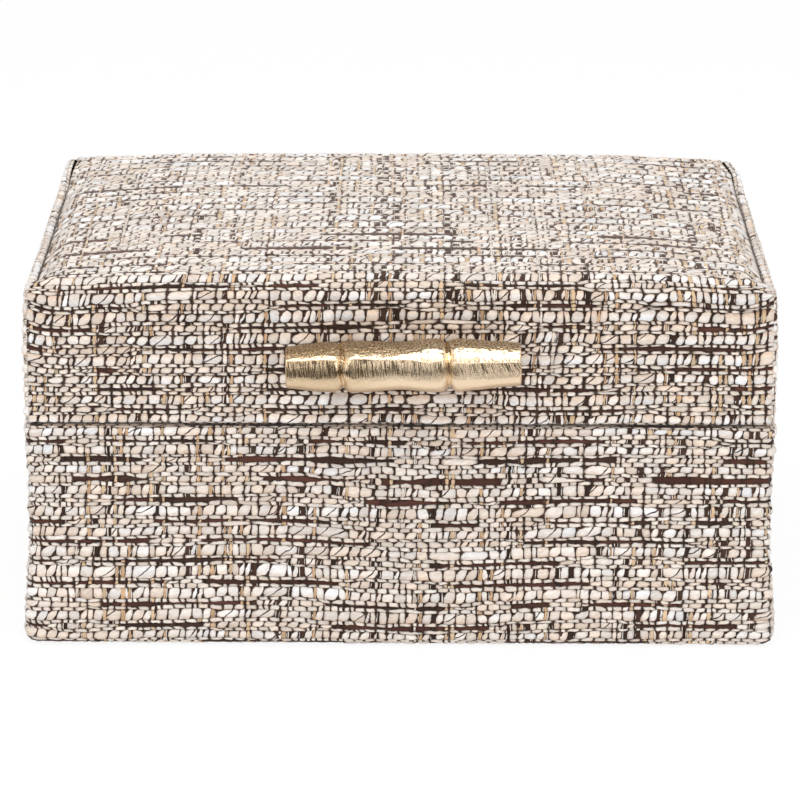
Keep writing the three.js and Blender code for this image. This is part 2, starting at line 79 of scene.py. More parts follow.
class Wire:
    # a socket of a shader tree; sums and products of wires add Math nodes
    def __init__(self, tree, socket=None, made=None):
        self.tree = tree
        self.socket = socket
        self.made = made

    def __getitem__(self, name):
        return Wire(self.tree, self.made.outputs[name], self.made)

    def node(self, kind, settings=None, links=None, out=0):
        made = self.tree.nodes.new(kind)
        for key, value in (settings or {}).items():
            setattr(made, key, value)
        for key, value in (links or {}).items():
            if isinstance(value, Wire):
                self.tree.links.new(value.socket, made.inputs[key])
            else:
                made.inputs[key].default_value = value
        return Wire(self.tree, made.outputs[out], made)

    def math(self, operation, *values):
        return self.node("ShaderNodeMath", {"operation": operation}, dict(enumerate(values)))

    def __add__(self, other):
        return self.math("ADD", self, other)

    def __radd__(self, other):
        return self.math("ADD", other, self)

    def __sub__(self, other):
        return self.math("SUBTRACT", self, other)

    def __rsub__(self, other):
        return self.math("SUBTRACT", other, self)

    def __mul__(self, other):
        return self.math("MULTIPLY", self, other)

    def __rmul__(self, other):
        return self.math("MULTIPLY", other, self)

    def __truediv__(self, other):
        return self.math("DIVIDE", self, other)

    def __rtruediv__(self, other):
        return self.math("DIVIDE", other, self)

    def __pow__(self, other):
        return self.math("POWER", self, other)

    def __abs__(self):
        return self.math("ABSOLUTE", self)

    def fract(self):
        return self.math("FRACT", self)

    def under(self, other):
        return self.math("LESS_THAN", self, other)

    def atLeast(self, other):
        return self.math("MAXIMUM", self, other)

    def ramp(self, low, high, toLow=0.0, toHigh=1.0):
        settings = {"interpolation_type": "SMOOTHSTEP"}
        return self.node("ShaderNodeMapRange", settings, {0: self, 1: low, 2: high, 3: toLow, 4: toHigh})

    def mix(self, first, second):
        first, second = (opaque(v) if isinstance(v, tuple) else v for v in (first, second))
        return self.node("ShaderNodeMix", {"data_type": "RGBA"}, {0: self, 6: first, 7: second}, out=2)

    def attribute(self, name):
        return self.node("ShaderNodeAttribute", {"attribute_name": name}, out="Vector")

    def objectPlace(self):
        return self.node("ShaderNodeTexCoord", out="Object")

    def parts(self):
        split = self.node("ShaderNodeSeparateXYZ", links={0: self})
        return split["X"], split["Y"], split["Z"]

    def vector(self, x, y, z):
        return self.node("ShaderNodeCombineXYZ", links={0: x, 1: y, 2: z})

    def scaled(self, factors):
        return self.node("ShaderNodeVectorMath", {"operation": "MULTIPLY"}, {0: self, 1: factors})

    def noise(self, place, scale, detail=2.0, roughness=0.5):
        links = {"Vector": place, "Scale": scale, "Detail": detail, "Roughness": roughness}
        return self.node("ShaderNodeTexNoise", links=links)


def material(name, constants):
    # a new material with its Principled shader; constants go straight on the shader's sockets
    made = bpy.data.materials.new(name)
    made.use_nodes = True
    shader = made.node_tree.nodes["Principled BSDF"]
    for key, value in constants.items():
        shader.inputs[key].default_value = opaque(value) if isinstance(value, tuple) else value
    return made, Wire(made.node_tree), shader


def feed(node, key, wire):
    wire.tree.links.new(wire.socket, node.inputs[key])


def bump(wire, strength, distance):
    # distance in metres
    return wire.node("ShaderNodeBump", links={"Strength": strength, "Distance": distance, "Height": wire})


# Tweed: a slubby plain weave. Sizes in millimetres, colours as they look in even light.

tweed = {
    "seed": 20,
    "warps": {
        "dark": {"width": (0.2, 0.36), "tints": [srgb(58, 42, 35), srgb(78, 57, 48), srgb(100, 76, 64)]},
        "tan": {"share": 0.6, "width": (0.5, 1.3), "tints": [srgb(214, 180, 144), srgb(226, 198, 164)]},
        "brown": {"share": 0.34, "width": (0.5, 1.5), "tints": [srgb(58, 43, 36), srgb(76, 56, 46)]},
        "cream": {"share": 0.06, "width": (0.5, 0.9), "tints": [srgb(236, 222, 206), srgb(242, 230, 218)]},
    },
    "firstWarp": (0.4, 0.9),  # from the cloth's edge
    "lastWarp": {"edge": 0.7, "half": 0.15},
    "room": {"dark": 1.6, "wide": 4.0},  # from a warp to the cloth's far edge
    "beside": 0.7,  # more room that a wide warp takes
    "pitch": 1.5,  # from one thin dark warp to the next
    "uneven": 0.2,
    "wide": 0.6,  # share of the spaces between them with a wide warp
    "crowd": 0.5,
    "crowdStep": 17.0,  # the wide warps gather in places about this far apart
    "columns": (0.3, 0.7, 1.0),  # lines across the space between two warps
    "longest": {"fine": 3.8, "heavy": 4.4},  # most that a length of weft runs between two warps
    "slant": 0.42,  # most that a warp strays sideways between two picks
    "turn": 0.6,  # share of that which is the same all along a pick
    "order": ("fine", "slub", "fine", "spaced"),
    "thickness": {"fine": 1.0, "slub": 2.1, "spaced": 1.65},
    "thicknessRange": (0.85, 1.15),
    "rows": {"fine": (0.0, 0.32, 0.68, 1.0), "heavy": (0.0, 0.15, 0.38, 0.62, 0.85, 1.0)},
    "bulge": (-0.14, 0.16),  # the slubs overlap the fine picks
    "edgeWave": 0.24,
    "edgeStep": 11.0,
    "darkRun": (8, 48),  # the spaced picks turn dark and pale by turns
    "paleRun": (7, 44),
    "streak": (0.5, 1.0),  # thickness of the dark stretches
    "thickStreak": {"share": 0.34, "times": 1.9},
    "streakWave": 0.5,
    "streakStep": 7.0,
    "streakEase": 3.0,
    "streakPower": 6.0,
    "streakRise": 0.4,
    "rise": {"fine": 0.6, "slub": 1.05, "spaced": 0.92},
    "riseRange": (0.7, 1.12),
    "warpRise": {"edge": 0.36, "middle": 0.6},
    "fuzz": 0.03,
    "sink": 0.72,  # the gaps lie this far under the cloth's nominal face
    "tints": {
        "fine": [srgb(246, 236, 226), srgb(251, 244, 237), srgb(241, 227, 214)],
        "slub": [srgb(245, 232, 220), srgb(251, 244, 238), srgb(243, 226, 211), srgb(252, 251, 252)],
        "spaced": [srgb(243, 229, 216), srgb(241, 223, 207), srgb(249, 240, 232)],
    },
    "tintMix": (0.45, 0.55),  # shares of each length's own tint and of its run's
    "tintRun": 5,
    "light": {"weft": (0.8, 1.03), "streak": (0.75, 1.15), "warp": (0.82, 1.1)},
    "streakTints": [srgb(82, 54, 45), srgb(66, 48, 41), srgb(90, 58, 49)],
    "streakRun": 4,
    "gap": [srgb(50, 37, 31), srgb(86, 64, 53)],
    "lightGap": srgb(128, 106, 94),  # painted light in the gaps between the flattened yarns of the top
    "thread": srgb(60, 44, 38),
    "threadSlope": (0.4, 1.3),
    "slanted": 0.09,  # share of the dark crossings that lie slanted over a heavy pick
    "slantedApart": 3,
    "hidden": {"fine": 0.04, "heavy": 0.06, "streak": 0.8, "wide": 0.5},  # warps sunk out of sight
    "shownRun": 9,  # picks from one stretch in which a wide warp shows to the next
    "shownBelow": 0.4,
    "breakClear": 0.8,  # from a warp that breaks a length of weft to its ends
    "flip": {"dark": 0.15, "wide": 0.18},  # crossings that break the plain weave
    "power": {"fine": (2.8, 5.5), "heavy": (2.4, 5.2)},  # how square the lengths of yarn look
    "fill": {"fine": (0.96, 1.2), "heavy": (0.94, 1.2)},
    "warpPower": 4.0,
    "warpFill": (1.3, 1.06),  # the dark warps and the wide ones
    "wobble": 0.32,
    "wobbleStep": 11.0,
    "wander": 1.0,  # the picks rise and fall slowly
    "wanderStep": 46.0,
    "sideEase": 3.0,  # they calm down towards the cloth's edges
    "endEase": 12.0,
}
noThread = (0.0, 0.0, 9.0)  # too far off to show


def waves(rng, places, step):
    # a smooth random curve, -1 to 1, with its knots a step apart
    knots = rng.uniform(-1, 1, int(np.max(places) / step) + 3)
    k = np.floor(places / step).astype(int)
    f = smooth(places / step - k)
    return knots[k] * (1 - f) + knots[k + 1] * f


def waveField(rng, down, across, step):
    # the same over a surface; down and across are arrays of the same shape
    knots = rng.uniform(-1, 1, [int(np.max(places) / step) + 3 for places in (down, across)])
    i, j = (np.floor(places / step).astype(int) for places in (down, across))
    f, g = smooth(down / step - i), smooth(across / step - j)
    upper = knots[i, j] * (1 - g) + knots[i, j + 1] * g
    lower = knots[i + 1, j] * (1 - g) + knots[i + 1, j + 1] * g
    return upper * (1 - f) + lower * f


def pickTint(rng, choices, count):
    return np.array(choices)[rng.integers(len(choices), size=count)]


def tintRuns(rng, choices, count, run):
    # the same tint for a run of neighbours
    return pickTint(rng, choices, count // run + 1).repeat(run, axis=0)[:count]


def weightOf(kind):
    return "fine" if kind == "fine" else "heavy"


def layWarps(rng, width):
    # kind, middle and half width of each warp: thin dark ones all along, wide ones between some of them
    names = [name for name in tweed["warps"] if name != "dark"]
    shares = [tweed["warps"][name]["share"] for name in names]
    crowd = waves(rng, np.arange(int(width) + 2.0), tweed["crowdStep"])
    warps, room = [], tweed["room"]["wide"]
    at = rng.uniform(*tweed["firstWarp"])
    while at < width - tweed["room"]["dark"]:
        warps.append(("dark", at, rng.uniform(*tweed["warps"]["dark"]["width"]) / 2))
        step = tweed["pitch"] * (1 + tweed["uneven"] * rng.uniform(-1, 1))
        if rng.random() < tweed["wide"] * (1 + tweed["crowd"] * crowd[int(at)]) and at < width - room:
            kind = names[rng.choice(len(names), p=shares)]
            half = rng.uniform(*tweed["warps"][kind]["width"]) / 2
            step = max(step, 2 * half + tweed["beside"])
            warps.append((kind, at + step / 2, half))
        at += step
    last = tweed["lastWarp"]
    warps.append(("dark", max(at, width - last["edge"]), last["half"]))
    return warps


def columnLines(warps, width):
    # lines across the cloth, with the warp that each interval lies on, or -1 between warps
    lines, warpOf = [0.0], []
    for index, (kind, at, half) in enumerate([*warps, ("edge", width, 0.0)]):
        start = lines[-1]
        lines += [start + (at - half - start) * share for share in tweed["columns"]]
        warpOf += [-1] * len(tweed["columns"])
        steps = {"dark": 1, "edge": 0}.get(kind, 2)
        lines += [at - half + 2 * half * (k + 1) / steps for k in range(steps)]
        warpOf += [index] * steps
    return np.array(lines), np.array(warpOf)


def layPicks(rng, length):
    # kind and thickness of each pick, fitted to the length
    kinds = []
    total = 0.0
    while total < length - 0.8:
        kind = tweed["order"][len(kinds) % len(tweed["order"])]
        kinds.append((kind, tweed["thickness"][kind] * rng.uniform(*tweed["thicknessRange"])))
        total += kinds[-1][1]
    fit = length / total
    return [(kind, thickness * fit) for kind, thickness in kinds]


def setLoom(rng, width, length, lean):
    # the warps and the picks of one cloth
    warps = layWarps(rng, width)
    lines, warpOf = columnLines(warps, width)
    picks = layPicks(rng, length)
    kinds, at, half = zip(*warps)
    at, half = np.array(at), np.array(half)
    return {
        "width": width, "lean": lean, "picks": picks, "lines": lines, "warpOf": warpOf,
        "first": (warpOf >= 0) & (np.concatenate([[-1], warpOf[:-1]]) != warpOf),
        "at": at, "half": half, "left": at - half, "right": at + half,
        "dark": np.array([kind == "dark" for kind in kinds]),
        "tint": np.array([pickTint(rng, tweed["warps"][kind]["tints"], 1)[0] for kind in kinds]),
    }


def darkRuns(rng, places):
    # 1 where a space-dyed pick is dark, 0 where it is pale, and the same for where it is thin
    mask = np.zeros_like(places)
    thin = np.zeros_like(places)
    ease = tweed["streakEase"]
    dark = rng.random() < 0.5
    at = -rng.uniform(0, 30)
    while at < places[-1]:
        run = rng.uniform(*tweed["darkRun" if dark else "paleRun"])
        if dark:
            mask += np.clip(places - at, 0, 1) * np.clip(at + run - places, 0, 1)
            thin += np.clip((places - at) / ease + 2, 0, 1) * np.clip((at + run - places) / ease + 2, 0, 1)
        at += run
        dark = not dark
    return np.clip(mask, 0, 1), np.clip(thin, 0, 1)


def pickEdges(rng, loom):
    # edges of the picks, each column's own: the slubs beside a dark stretch take up its room
    lines, picks = loom["lines"], loom["picks"]
    nominal = np.concatenate([[0], np.cumsum([thickness for _, thickness in picks])])
    shift = np.zeros((len(nominal), len(lines)))
    darkness = np.zeros((len(picks), len(lines)))
    for i, (kind, thickness) in enumerate(picks):
        bulge = np.interp(lines, loom["at"], rng.uniform(*tweed["bulge"], len(loom["at"])))
        wave = tweed["edgeWave"] * waves(rng, lines, tweed["edgeStep"])
        shift[i] += (bulge if kind == "fine" else -bulge) + wave
        if kind == "spaced":
            darkness[i], thinned = darkRuns(rng, lines)
            thin = rng.uniform(*tweed["streak"])
            thin *= tweed["thickStreak"]["times"] if rng.random() < tweed["thickStreak"]["share"] else 1
            uneven = 1 + tweed["streakWave"] * waves(rng, lines, tweed["streakStep"])
            slack = thinned * (thickness - thin * uneven) / 2
            shift[i - 1:i + 1] += slack
            shift[i + 1:i + 3] -= slack
    shift[[0, -1]] = 0
    return nominal[:, None] + shift, darkness


def strayLines(rng, loom):
    # the warps stray sideways at the edges of the picks, which slants the lengths of yarn
    left, right = loom["left"], loom["right"]
    space = np.concatenate([[9], left[1:] - right[:-1], [9]])
    free = np.minimum(0.4 * np.minimum(space[:-1], space[1:]), tweed["slant"])
    turns = [-tweed["turn"] if kind == "fine" else tweed["turn"] for kind, _ in loom["picks"]]
    turns = np.array(turns + [0.0])
    rest = 1 - tweed["turn"]
    stray = free * (loom["lean"] * turns[:, None] + rng.uniform(-rest, rest, (len(turns), len(free))))
    knots = np.concatenate([[0], np.column_stack([left, right]).ravel(), [loom["width"]]])
    rows = [np.concatenate([[0], row.repeat(2), [0]]) for row in stray]
    return np.array([np.interp(loom["lines"], knots, row) for row in rows])


def crossings(rng, loom):
    # for each pick, which warps pass over it and which cross it as a slanted thread
    warpAt, warpDark, picks = loom["at"], loom["dark"], loom["picks"]
    count, run, clear = len(warpDark), tweed["shownRun"], tweed["breakClear"]
    shown = rng.uniform(-1, 1, (len(picks) // run + 3, count))  # stretches in which the wide warps show
    flip = np.where(warpDark, tweed["flip"]["dark"], tweed["flip"]["wide"])
    order = np.cumsum(warpDark)
    for i, (kind, _) in enumerate(picks):
        # the thin dark warps weave plain, the wide ones lie over the heavy picks and under the fine ones
        over = np.where(warpDark, (order + i) % 2 == 0, kind != "fine") ^ (rng.random(count) < flip)
        part = i % run / run
        over &= warpDark | (shown[i // run] * (1 - part) + shown[i // run + 1] * part < tweed["shownBelow"])
        chance = rng.random(count)
        weight = weightOf(kind)
        over &= chance < 1 - np.where(warpDark, tweed["hidden"][weight], tweed["hidden"]["wide"])
        # a dark warp breaks every length of weft that would run too far
        shownAt = np.concatenate([[0], warpAt[over], [loom["width"]]])
        for k in np.flatnonzero(np.diff(shownAt) > tweed["longest"][weight]):
            between = warpDark & (warpAt > shownAt[k] + clear) & (warpAt < shownAt[k + 1] - clear)
            if between.any():
                away = np.abs(warpAt - (shownAt[k] + shownAt[k + 1]) / 2)
                over[np.where(between, away, np.inf).argmin()] = True
        slanted = over & warpDark & (weight == "heavy") & (chance < tweed["slanted"])
        last = -9
        for k in np.flatnonzero(slanted):
            slanted[k] = k - last > tweed["slantedApart"]
            last = k if slanted[k] else last
        yield over & ~slanted, slanted


def weftLengths(rng, loom, kind, over, deep, dark):
    # the lengths of weft between the warps that cross a pick, each with its own form and tint
    weight = weightOf(kind)
    start = np.concatenate([[0], loom["right"][over]])
    end = np.concatenate([loom["left"][over], [loom["width"]]])
    count = len(start)
    middle = (start + end) / 2
    inStreak = np.interp(middle, loom["lines"], dark) > 0.5
    power = np.where(inStreak, tweed["streakPower"], rng.uniform(*tweed["power"][weight], count))
    fill = rng.uniform(*tweed["fill"][weight], count)
    seed = rng.random(count)
    choices = tweed["tints"][kind]
    own, shared = tweed["tintMix"]
    run = tintRuns(rng, choices, count, tweed["tintRun"])
    tint = own * pickTint(rng, choices, count) + shared * run
    tint = tint * rng.uniform(*tweed["light"]["weft"], (count, 1))
    streak = tintRuns(rng, tweed["streakTints"], count, tweed["streakRun"])
    streak = streak * rng.uniform(*tweed["light"]["streak"], (count, 1))
    rise = tweed["rise"][kind] * rng.uniform(*tweed["riseRange"], count)
    return {
        "middle": middle, "reach": np.maximum((end - start) / 2, 0.05), "dark": inStreak,
        "half": np.interp(middle, loom["lines"], deep) / 2, "power": power, "fill": fill, "seed": seed,
        "tint": np.where(inStreak[:, None], streak, tint),
        "rise": rise * np.where(inStreak, tweed["streakRise"], 1),
    }


def pickHeights(loom, weft, kind, overCell, segment):
    # heights on the lines of a pick, its upper edge first
    warpOf, full = loom["warpOf"], tweed["rise"][kind]
    owner = np.concatenate([[0], np.where(overCell, np.maximum(segment - 1, 0), segment)])
    edgeLine = np.concatenate([overCell, [False]]) | np.concatenate([[False], overCell])
    inWarp = overCell[:-1] & overCell[1:] & (warpOf[:-1] == warpOf[1:])
    inWarp = np.concatenate([[False], inWarp, [False]])
    place = (loom["lines"] - weft["middle"][owner]) / weft["reach"][owner]
    heights = []
    for share in tweed["rows"][weightOf(kind)][:-1]:
        v = 2 * share - 1
        inside = np.abs(place) ** 3 + abs(v) ** 2.2
        height = weft["rise"][owner] * np.sqrt(np.clip(1 - inside, 0, 1))
        across = math.sqrt(max(0.0, 1 - v * v))
        height = np.where(edgeLine, tweed["warpRise"]["edge"] * full * across, height)
        heights.append(np.where(inWarp, tweed["warpRise"]["middle"] * full * across, height))
    return heights


def slantedThreads(rng, loom, threads, middle):
    # direction and offset of the slanted thread that is nearest to each cell
    warpAt, lines = loom["at"], loom["lines"]
    cellX = (lines[:-1] + lines[1:]) / 2
    nearest = threads[np.abs(cellX[:, None] - warpAt[threads]).argmin(axis=1)]
    slope = loom["lean"] * rng.uniform(*tweed["threadSlope"], len(warpAt))[nearest]
    far = np.sqrt(1 + slope * slope)
    return np.stack([slope / far, 1 / far, slope * (warpAt[nearest] - middle) / far], axis=1)


def pickCells(rng, loom, weft, kind, overCell, segment, deep, slanted):
    # cells of a pick for the shader: corners, size, form, tint and slanted thread
    def either(ofWarp, key):
        return np.where(overCell, ofWarp, weft[key][segment])
    lines = loom["lines"]
    fine = kind == "fine"
    warp = np.maximum(loom["warpOf"], 0)
    count = len(loom["at"])
    middle = either(loom["at"][warp], "middle")
    half = either(np.interp(middle, lines, deep) / 2, "half")
    reach = np.where(overCell, loom["half"][warp], np.maximum(weft["reach"][segment] - 0.1 * fine, 0.1))
    fill = either(np.where(loom["dark"][warp], *tweed["warpFill"]), "fill")
    seed = either(rng.random(count)[warp], "seed")
    form = np.where(overCell, 0.0, np.where(weft["dark"][segment], 0.5, 1.0 if fine else 2.0))
    shade = rng.uniform(*tweed["light"]["warp"], (count, 1))[warp]
    tint = np.where(overCell[:, None], loom["tint"][warp] * shade, weft["tint"][segment])
    thread = np.tile(noThread, (len(middle), 1))
    threads = np.flatnonzero(slanted)
    if len(threads):
        free = ~overCell & ~weft["dark"][segment]
        thread = np.where(free[:, None], slantedThreads(rng, loom, threads, middle), thread)
    left, right = lines[:-1] - middle, lines[1:] - middle
    way = np.full_like(left, loom["lean"])
    cells = {
        "cellSize": np.stack([reach, half * fill, either(tweed["warpPower"], "power")], axis=1),
        "cellForm": np.stack([half, seed, form], axis=1), "cellTint": tint, "cellThread": thread,
    }
    shares = tweed["rows"][weightOf(kind)]
    for upper, lower in zip(shares[:-1], shares[1:]):
        high, low = (2 * upper - 1) * half, (2 * lower - 1) * half
        ring = ((left, high), (left, low), (right, low), (right, high))
        yield np.stack([np.stack([p, q, way], axis=1) for p, q in ring], axis=1), cells


def weaveCloth(width, length, seed, lean=1):
    # the cloth's lines, heights and cells: rows of picks over the length, warps over the width
    rng = np.random.default_rng(seed)
    loom = setLoom(rng, width, length, lean)
    lines, warpOf = loom["lines"], loom["warpOf"]
    edges, darkness = pickEdges(rng, loom)
    stray = strayLines(rng, loom)
    rows, aside, heights, faces = [], [], [], []
    for i, (over, slanted) in enumerate(crossings(rng, loom)):
        kind = loom["picks"][i][0]
        deep = edges[i + 1] - edges[i]
        inStreak = np.interp(loom["at"], lines, darkness[i]) > 0.5
        over &= ~(inStreak & loom["dark"] & (rng.random(len(over)) < tweed["hidden"]["streak"]))
        overCell = (warpOf >= 0) & over[warpOf]
        segment = np.cumsum(loom["first"] & overCell)
        weft = weftLengths(rng, loom, kind, over, deep, darkness[i])
        for share in tweed["rows"][weightOf(kind)][:-1]:
            rows.append(edges[i] + share * deep)
            aside.append(stray[i] + share * (stray[i + 1] - stray[i]))
        heights += pickHeights(loom, weft, kind, overCell, segment)
        faces += pickCells(rng, loom, weft, kind, overCell, segment, deep, slanted & ~inStreak)
    down = np.array(rows + [edges[-1]])
    across = lines + np.array(aside + [stray[-1]])
    height = np.array(heights + [np.zeros_like(lines)])
    spread = np.clip(down, 0, None), np.clip(across, 0, None)
    sway = waveField(rng, *spread, tweed["wobbleStep"])
    margin = np.clip(np.minimum(across, width - across) / tweed["sideEase"], 0, 1)
    ends = smooth(np.minimum(down, length - down) / tweed["endEase"])
    wander = waveField(rng, *spread, tweed["wanderStep"])
    return {
        "across": across + tweed["wobble"] * sway * margin,
        "down": down + tweed["wander"] * wander * ends,
        "height": height + tweed["fuzz"] * rng.uniform(-1, 1, down.shape) - tweed["sink"],
        "corners": np.array([corners for corners, _ in faces]),
        "cells": {title: np.array([cells[title] for _, cells in faces]) for title in faces[0][1]},
    }


def meshPiece(name, points, quads, layers, flat, finish):
    # an object of quads, its points in mm, with its attributes and its bake map
    mesh = bpy.data.meshes.new(name)
    mesh.vertices.add(len(points))
    mesh.loops.add(quads.size)
    mesh.polygons.add(len(quads))
    mesh.vertices.foreach_set("co", (points * mm).astype(np.float32).ravel())
    mesh.loops.foreach_set("vertex_index", quads.astype(np.int32).ravel())
    mesh.polygons.foreach_set("loop_start", np.arange(0, quads.size, 4, dtype=np.int32))
    mesh.update(calc_edges=True)
    mesh.shade_smooth()
    for title, domain, values in layers:
        layer = mesh.attributes.new(title, "FLOAT_VECTOR", domain)
        layer.data.foreach_set("vector", values.astype(np.float32).ravel())
    bakeMap = mesh.uv_layers.new(name="OFBake")
    bakeMap.data.foreach_set("uv", flat.astype(np.float32).ravel())
    mesh.materials.append(finish)
    piece = bpy.data.objects.new(name, mesh)
    bpy.context.scene.collection.objects.link(piece)
    print(f"{name}: {len(quads)} faces")
    return piece


def clothMesh(name, sheets):
    # one mesh of one or more woven sheets: places in mm, cloth, a mask of kept cells and a bake map
    points, quads, corners, maps = [], [], [], []
    cells = {title: [] for title in sheets[0]["cloth"]["cells"]}
    count = 0
    for sheet in sheets:
        place, cloth, kept = sheet["place"], sheet["cloth"], sheet["kept"].reshape(-1)
        index = np.arange(place[..., 0].size).reshape(place.shape[:2])
        ring = [index[:-1, :-1], index[1:, :-1], index[1:, 1:], index[:-1, 1:]]
        order = [0, 1, 2, 3] if sheet["downward"] else [0, 3, 2, 1]
        quad = np.stack([ring[k] for k in order], axis=-1).reshape(-1, 4)[kept]
        used, renumbered = np.unique(quad, return_inverse=True)
        points.append(place.reshape(-1, 3)[used])
        quads.append(renumbered.reshape(-1, 4) + count)
        corners.append(cloth["corners"][:, :, order].reshape(-1, 4, 3)[kept])
        for title, values in cloth["cells"].items():
            cells[title].append(values.reshape(-1, 3)[kept])
        maps.append(sheet["map"](quad))
        count += len(used)
    layers = [("cellPlace", "CORNER", np.concatenate(corners))]
    layers += [(title, "FACE", np.concatenate(values)) for title, values in cells.items()]
    points, quads, flat = np.concatenate(points), np.concatenate(quads), np.concatenate(maps)
    return meshPiece(name, points, quads, layers, flat, tweedFinish)


def stripMap(across, down, width, length, strips, top=0.0, high=1.0):
    # a bake map that cuts a long cloth into strips, stacked in the part of the map from top, high tall
    margin = 0.01

    def place(quad):
        s, t = across.reshape(-1)[quad], down.reshape(-1)[quad]
        strip = np.clip(np.floor(s.mean(axis=1) / width * strips), 0, strips - 1)[:, None]
        u = margin + (1 - 2 * margin) * np.clip(s / width * strips - strip, -margin, 1 + margin)
        v = (strip + margin + (1 - 2 * margin) * t / length) / strips
        return np.stack([u, top + high * v], axis=-1).reshape(-1, 2)
    return place


def makeTweed():
    made, wire, shader = material("slub_tweed", {
        "Roughness": 0.92, "Specular IOR Level": 0.18, "Sheen Weight": 0.32, "Sheen Roughness": 0.4,
    })
    p, q, lean = wire.attribute("cellPlace").parts()
    a, b, power = wire.attribute("cellSize").parts()
    half, seed, kind = wire.attribute("cellForm").parts()
    tint = wire.attribute("cellTint")

    # each length of yarn has a rounded, uneven outline
    uneven = wire.noise(wire.vector(p * 0.6 + seed * 40, q * 0.8, seed * 23), 1.0, 2.0, 0.5)
    asideP, asideQ, patch = uneven["Color"].parts()
    upright = kind.under(0.25)
    lightGap = abs(lean) - 1  # share of painted light in the gaps, lean's sign being the way of the lean
    skew = (1 - upright) * ((seed * 7.3).fract() - 0.3)  # the lengths of weft lean and vary in width
    narrow = a - (1 - upright) * (0.2 * (seed * 3.7).fract() - 0.1)
    wideP = abs(p + 0.8 * (asideP - 0.5) + 0.36 * kind * (lean / abs(lean)) * skew * q)
    wideQ = abs(q + 0.7 * (asideQ - 0.5) + 0.24 * (skew - 0.2) * p)
    taper = 1 + upright * (seed - 0.5) * 1.2 * (q / half)  # the wide warps widen up or down
    spread = (wideP / (narrow.atLeast(0.1) * taper)) ** power + (wideQ / b) ** power
    outline = (spread ** (1 / power) - 1) * b  # about the distance outside the yarn
    inside = outline.ramp(0.06, -0.1)

    # twisted fibres along the yarn, with painted shade towards its edge and where it dives under the next
    # pick
    along = p + upright * (q - p)
    twist = q + upright * (p - q) + 0.35 * along
    fibre = wire.noise(wire.vector(along * 0.5 + seed * 61, twist * 4.2, seed * 17), 1.0, 3.0, 0.6)
    light = (0.5 + 0.74 * fibre + 0.24 * patch) * outline.ramp(-0.26, 0.0, 1.0, 0.72)
    light = light * (half - abs(q)).ramp(0.0, 0.14, 0.66, 1.0)
    lower = (q / half + 1.6 * (asideQ - 0.5)).ramp(-0.1, 0.9)  # the yarn is warmer and darker towards one side
    shade = wire.vector(light * (1 - 0.05 * lower), light * (1 - 0.15 * lower), light * (1 - 0.24 * lower))

    # thin dark threads that cross many of the slubs on a slant
    tiltX, tiltY, offset = wire.attribute("cellThread").parts()
    thinner = 0.12 * (p / a) * ((seed * 5.1).fract() - 0.2)
    away = abs(tiltX * p + tiltY * q - offset + 0.7 * (asideQ - 0.5)) - thinner
    thread = away.ramp(0.21, 0.1)
    gap = lightGap.mix(patch.ramp(0.4, 0.65).mix(*tweed["gap"]), tweed["lightGap"])
    colour = inside.mix(gap, tint.scaled(shade))
    feed(shader, "Base Color", (thread * inside).mix(colour, tweed["thread"]))
    relief = inside * 0.6 + fibre * 0.3 - thread * 0.3
    feed(shader, "Normal", bump(relief, 0.5, 0.25 * mm))
    return made


tweedFinish = makeTweed()

# Levels that the cloth follows, from the frame

wrapLow, wrapHigh = nodeBox("base_wrap")
coverLow, coverHigh = nodeBox("lid_cover")
panelHigh = nodeBox("lid_side_panel_right")[1]
halfWidth, halfDepth = wrapHigh[0], wrapHigh[1]
wallInner = nodeBox("base_back_wall")[0][1]  # inner face of the back wall
leafLow, leafHigh = nodeBox("hinge_left_lid_leaf")
hingeXs = [np.mean(nodeBox(f"hinge_{side}_lid_leaf"), axis=0)[0] for side in ("left", "right")]
seamMiddle = (wrapHigh[2] + coverLow[2]) / 2

rims = {
    "fold": 1.3,  # radius
    "relief": 0.32, "shift": -0.1,  # share of the relief that is left, and how far it sinks
    "leafGap": 0.3, "notchHeight": 1.75, "notchDeep": 0.5,  # room for the hinge leaves
    "hingeX": 3.0, "hingeZ": 8.0, "hingeEase": 2.0,  # beside the leaves the cloth is pressed
    "hingeFlatter": 0.6, "hingePress": 0.22,
}
foldRadius = rims["fold"]
leafReach = (leafHigh[0] - leafLow[0]) / 2 + rims["leafGap"]
rimHem = halfDepth - wallInner - foldRadius


def cellMiddles(place):
    return (place[:-1, :-1] + place[1:, :-1] + place[1:, 1:] + place[:-1, 1:]) / 4


def pressAtHinges(relief, x, y, z):
    close = np.zeros_like(x)
    for hingeX in hingeXs:
        share = np.clip((leafReach + rims["hingeX"] - np.abs(x - hingeX)) / rims["hingeEase"], 0, 1)
        upright = np.clip((rims["hingeZ"] - np.abs(z - seamMiddle)) / rims["hingeEase"], 0, 1)
        close = np.maximum(close, share * upright)
    close = close * (y > 0)
    return relief * (1 - rims["hingeFlatter"] * close) - rims["hingePress"] * close


def clearOfLeaves(place):
    # the cells that stay where the hinge leaves lie in the cloth
    x, y, z = np.moveaxis(cellMiddles(place), -1, 0)
    beside = np.min([np.abs(x - hingeX) for hingeX in hingeXs], axis=0)
    level = np.abs(z - seamMiddle) < rims["notchHeight"]
    return ~((beside < leafReach) & (y > wallInner - rims["notchDeep"]) & level)


# Band round the base

band = {
    "seed": 3, "cornerRadius": 2.5, "hem": 12.0, "shownHem": 5.0, "hemSlack": 0.2, "strips": 3,
    "lowRadius": 2.8, "lowDrop": 0.5, "lowFlatter": 0.8, "endSink": 0.3,
    "flare": 2.0, "flareFrom": 34.0, "flareTo": 2.0,  # the cloth stands off at the foot
    "rimFlare": 0.5, "rimFrom": (48, 14),  # and a little at the rim
}
bandFace = wrapHigh[2] - wrapLow[2] - foldRadius - band["lowRadius"] + band["lowDrop"]


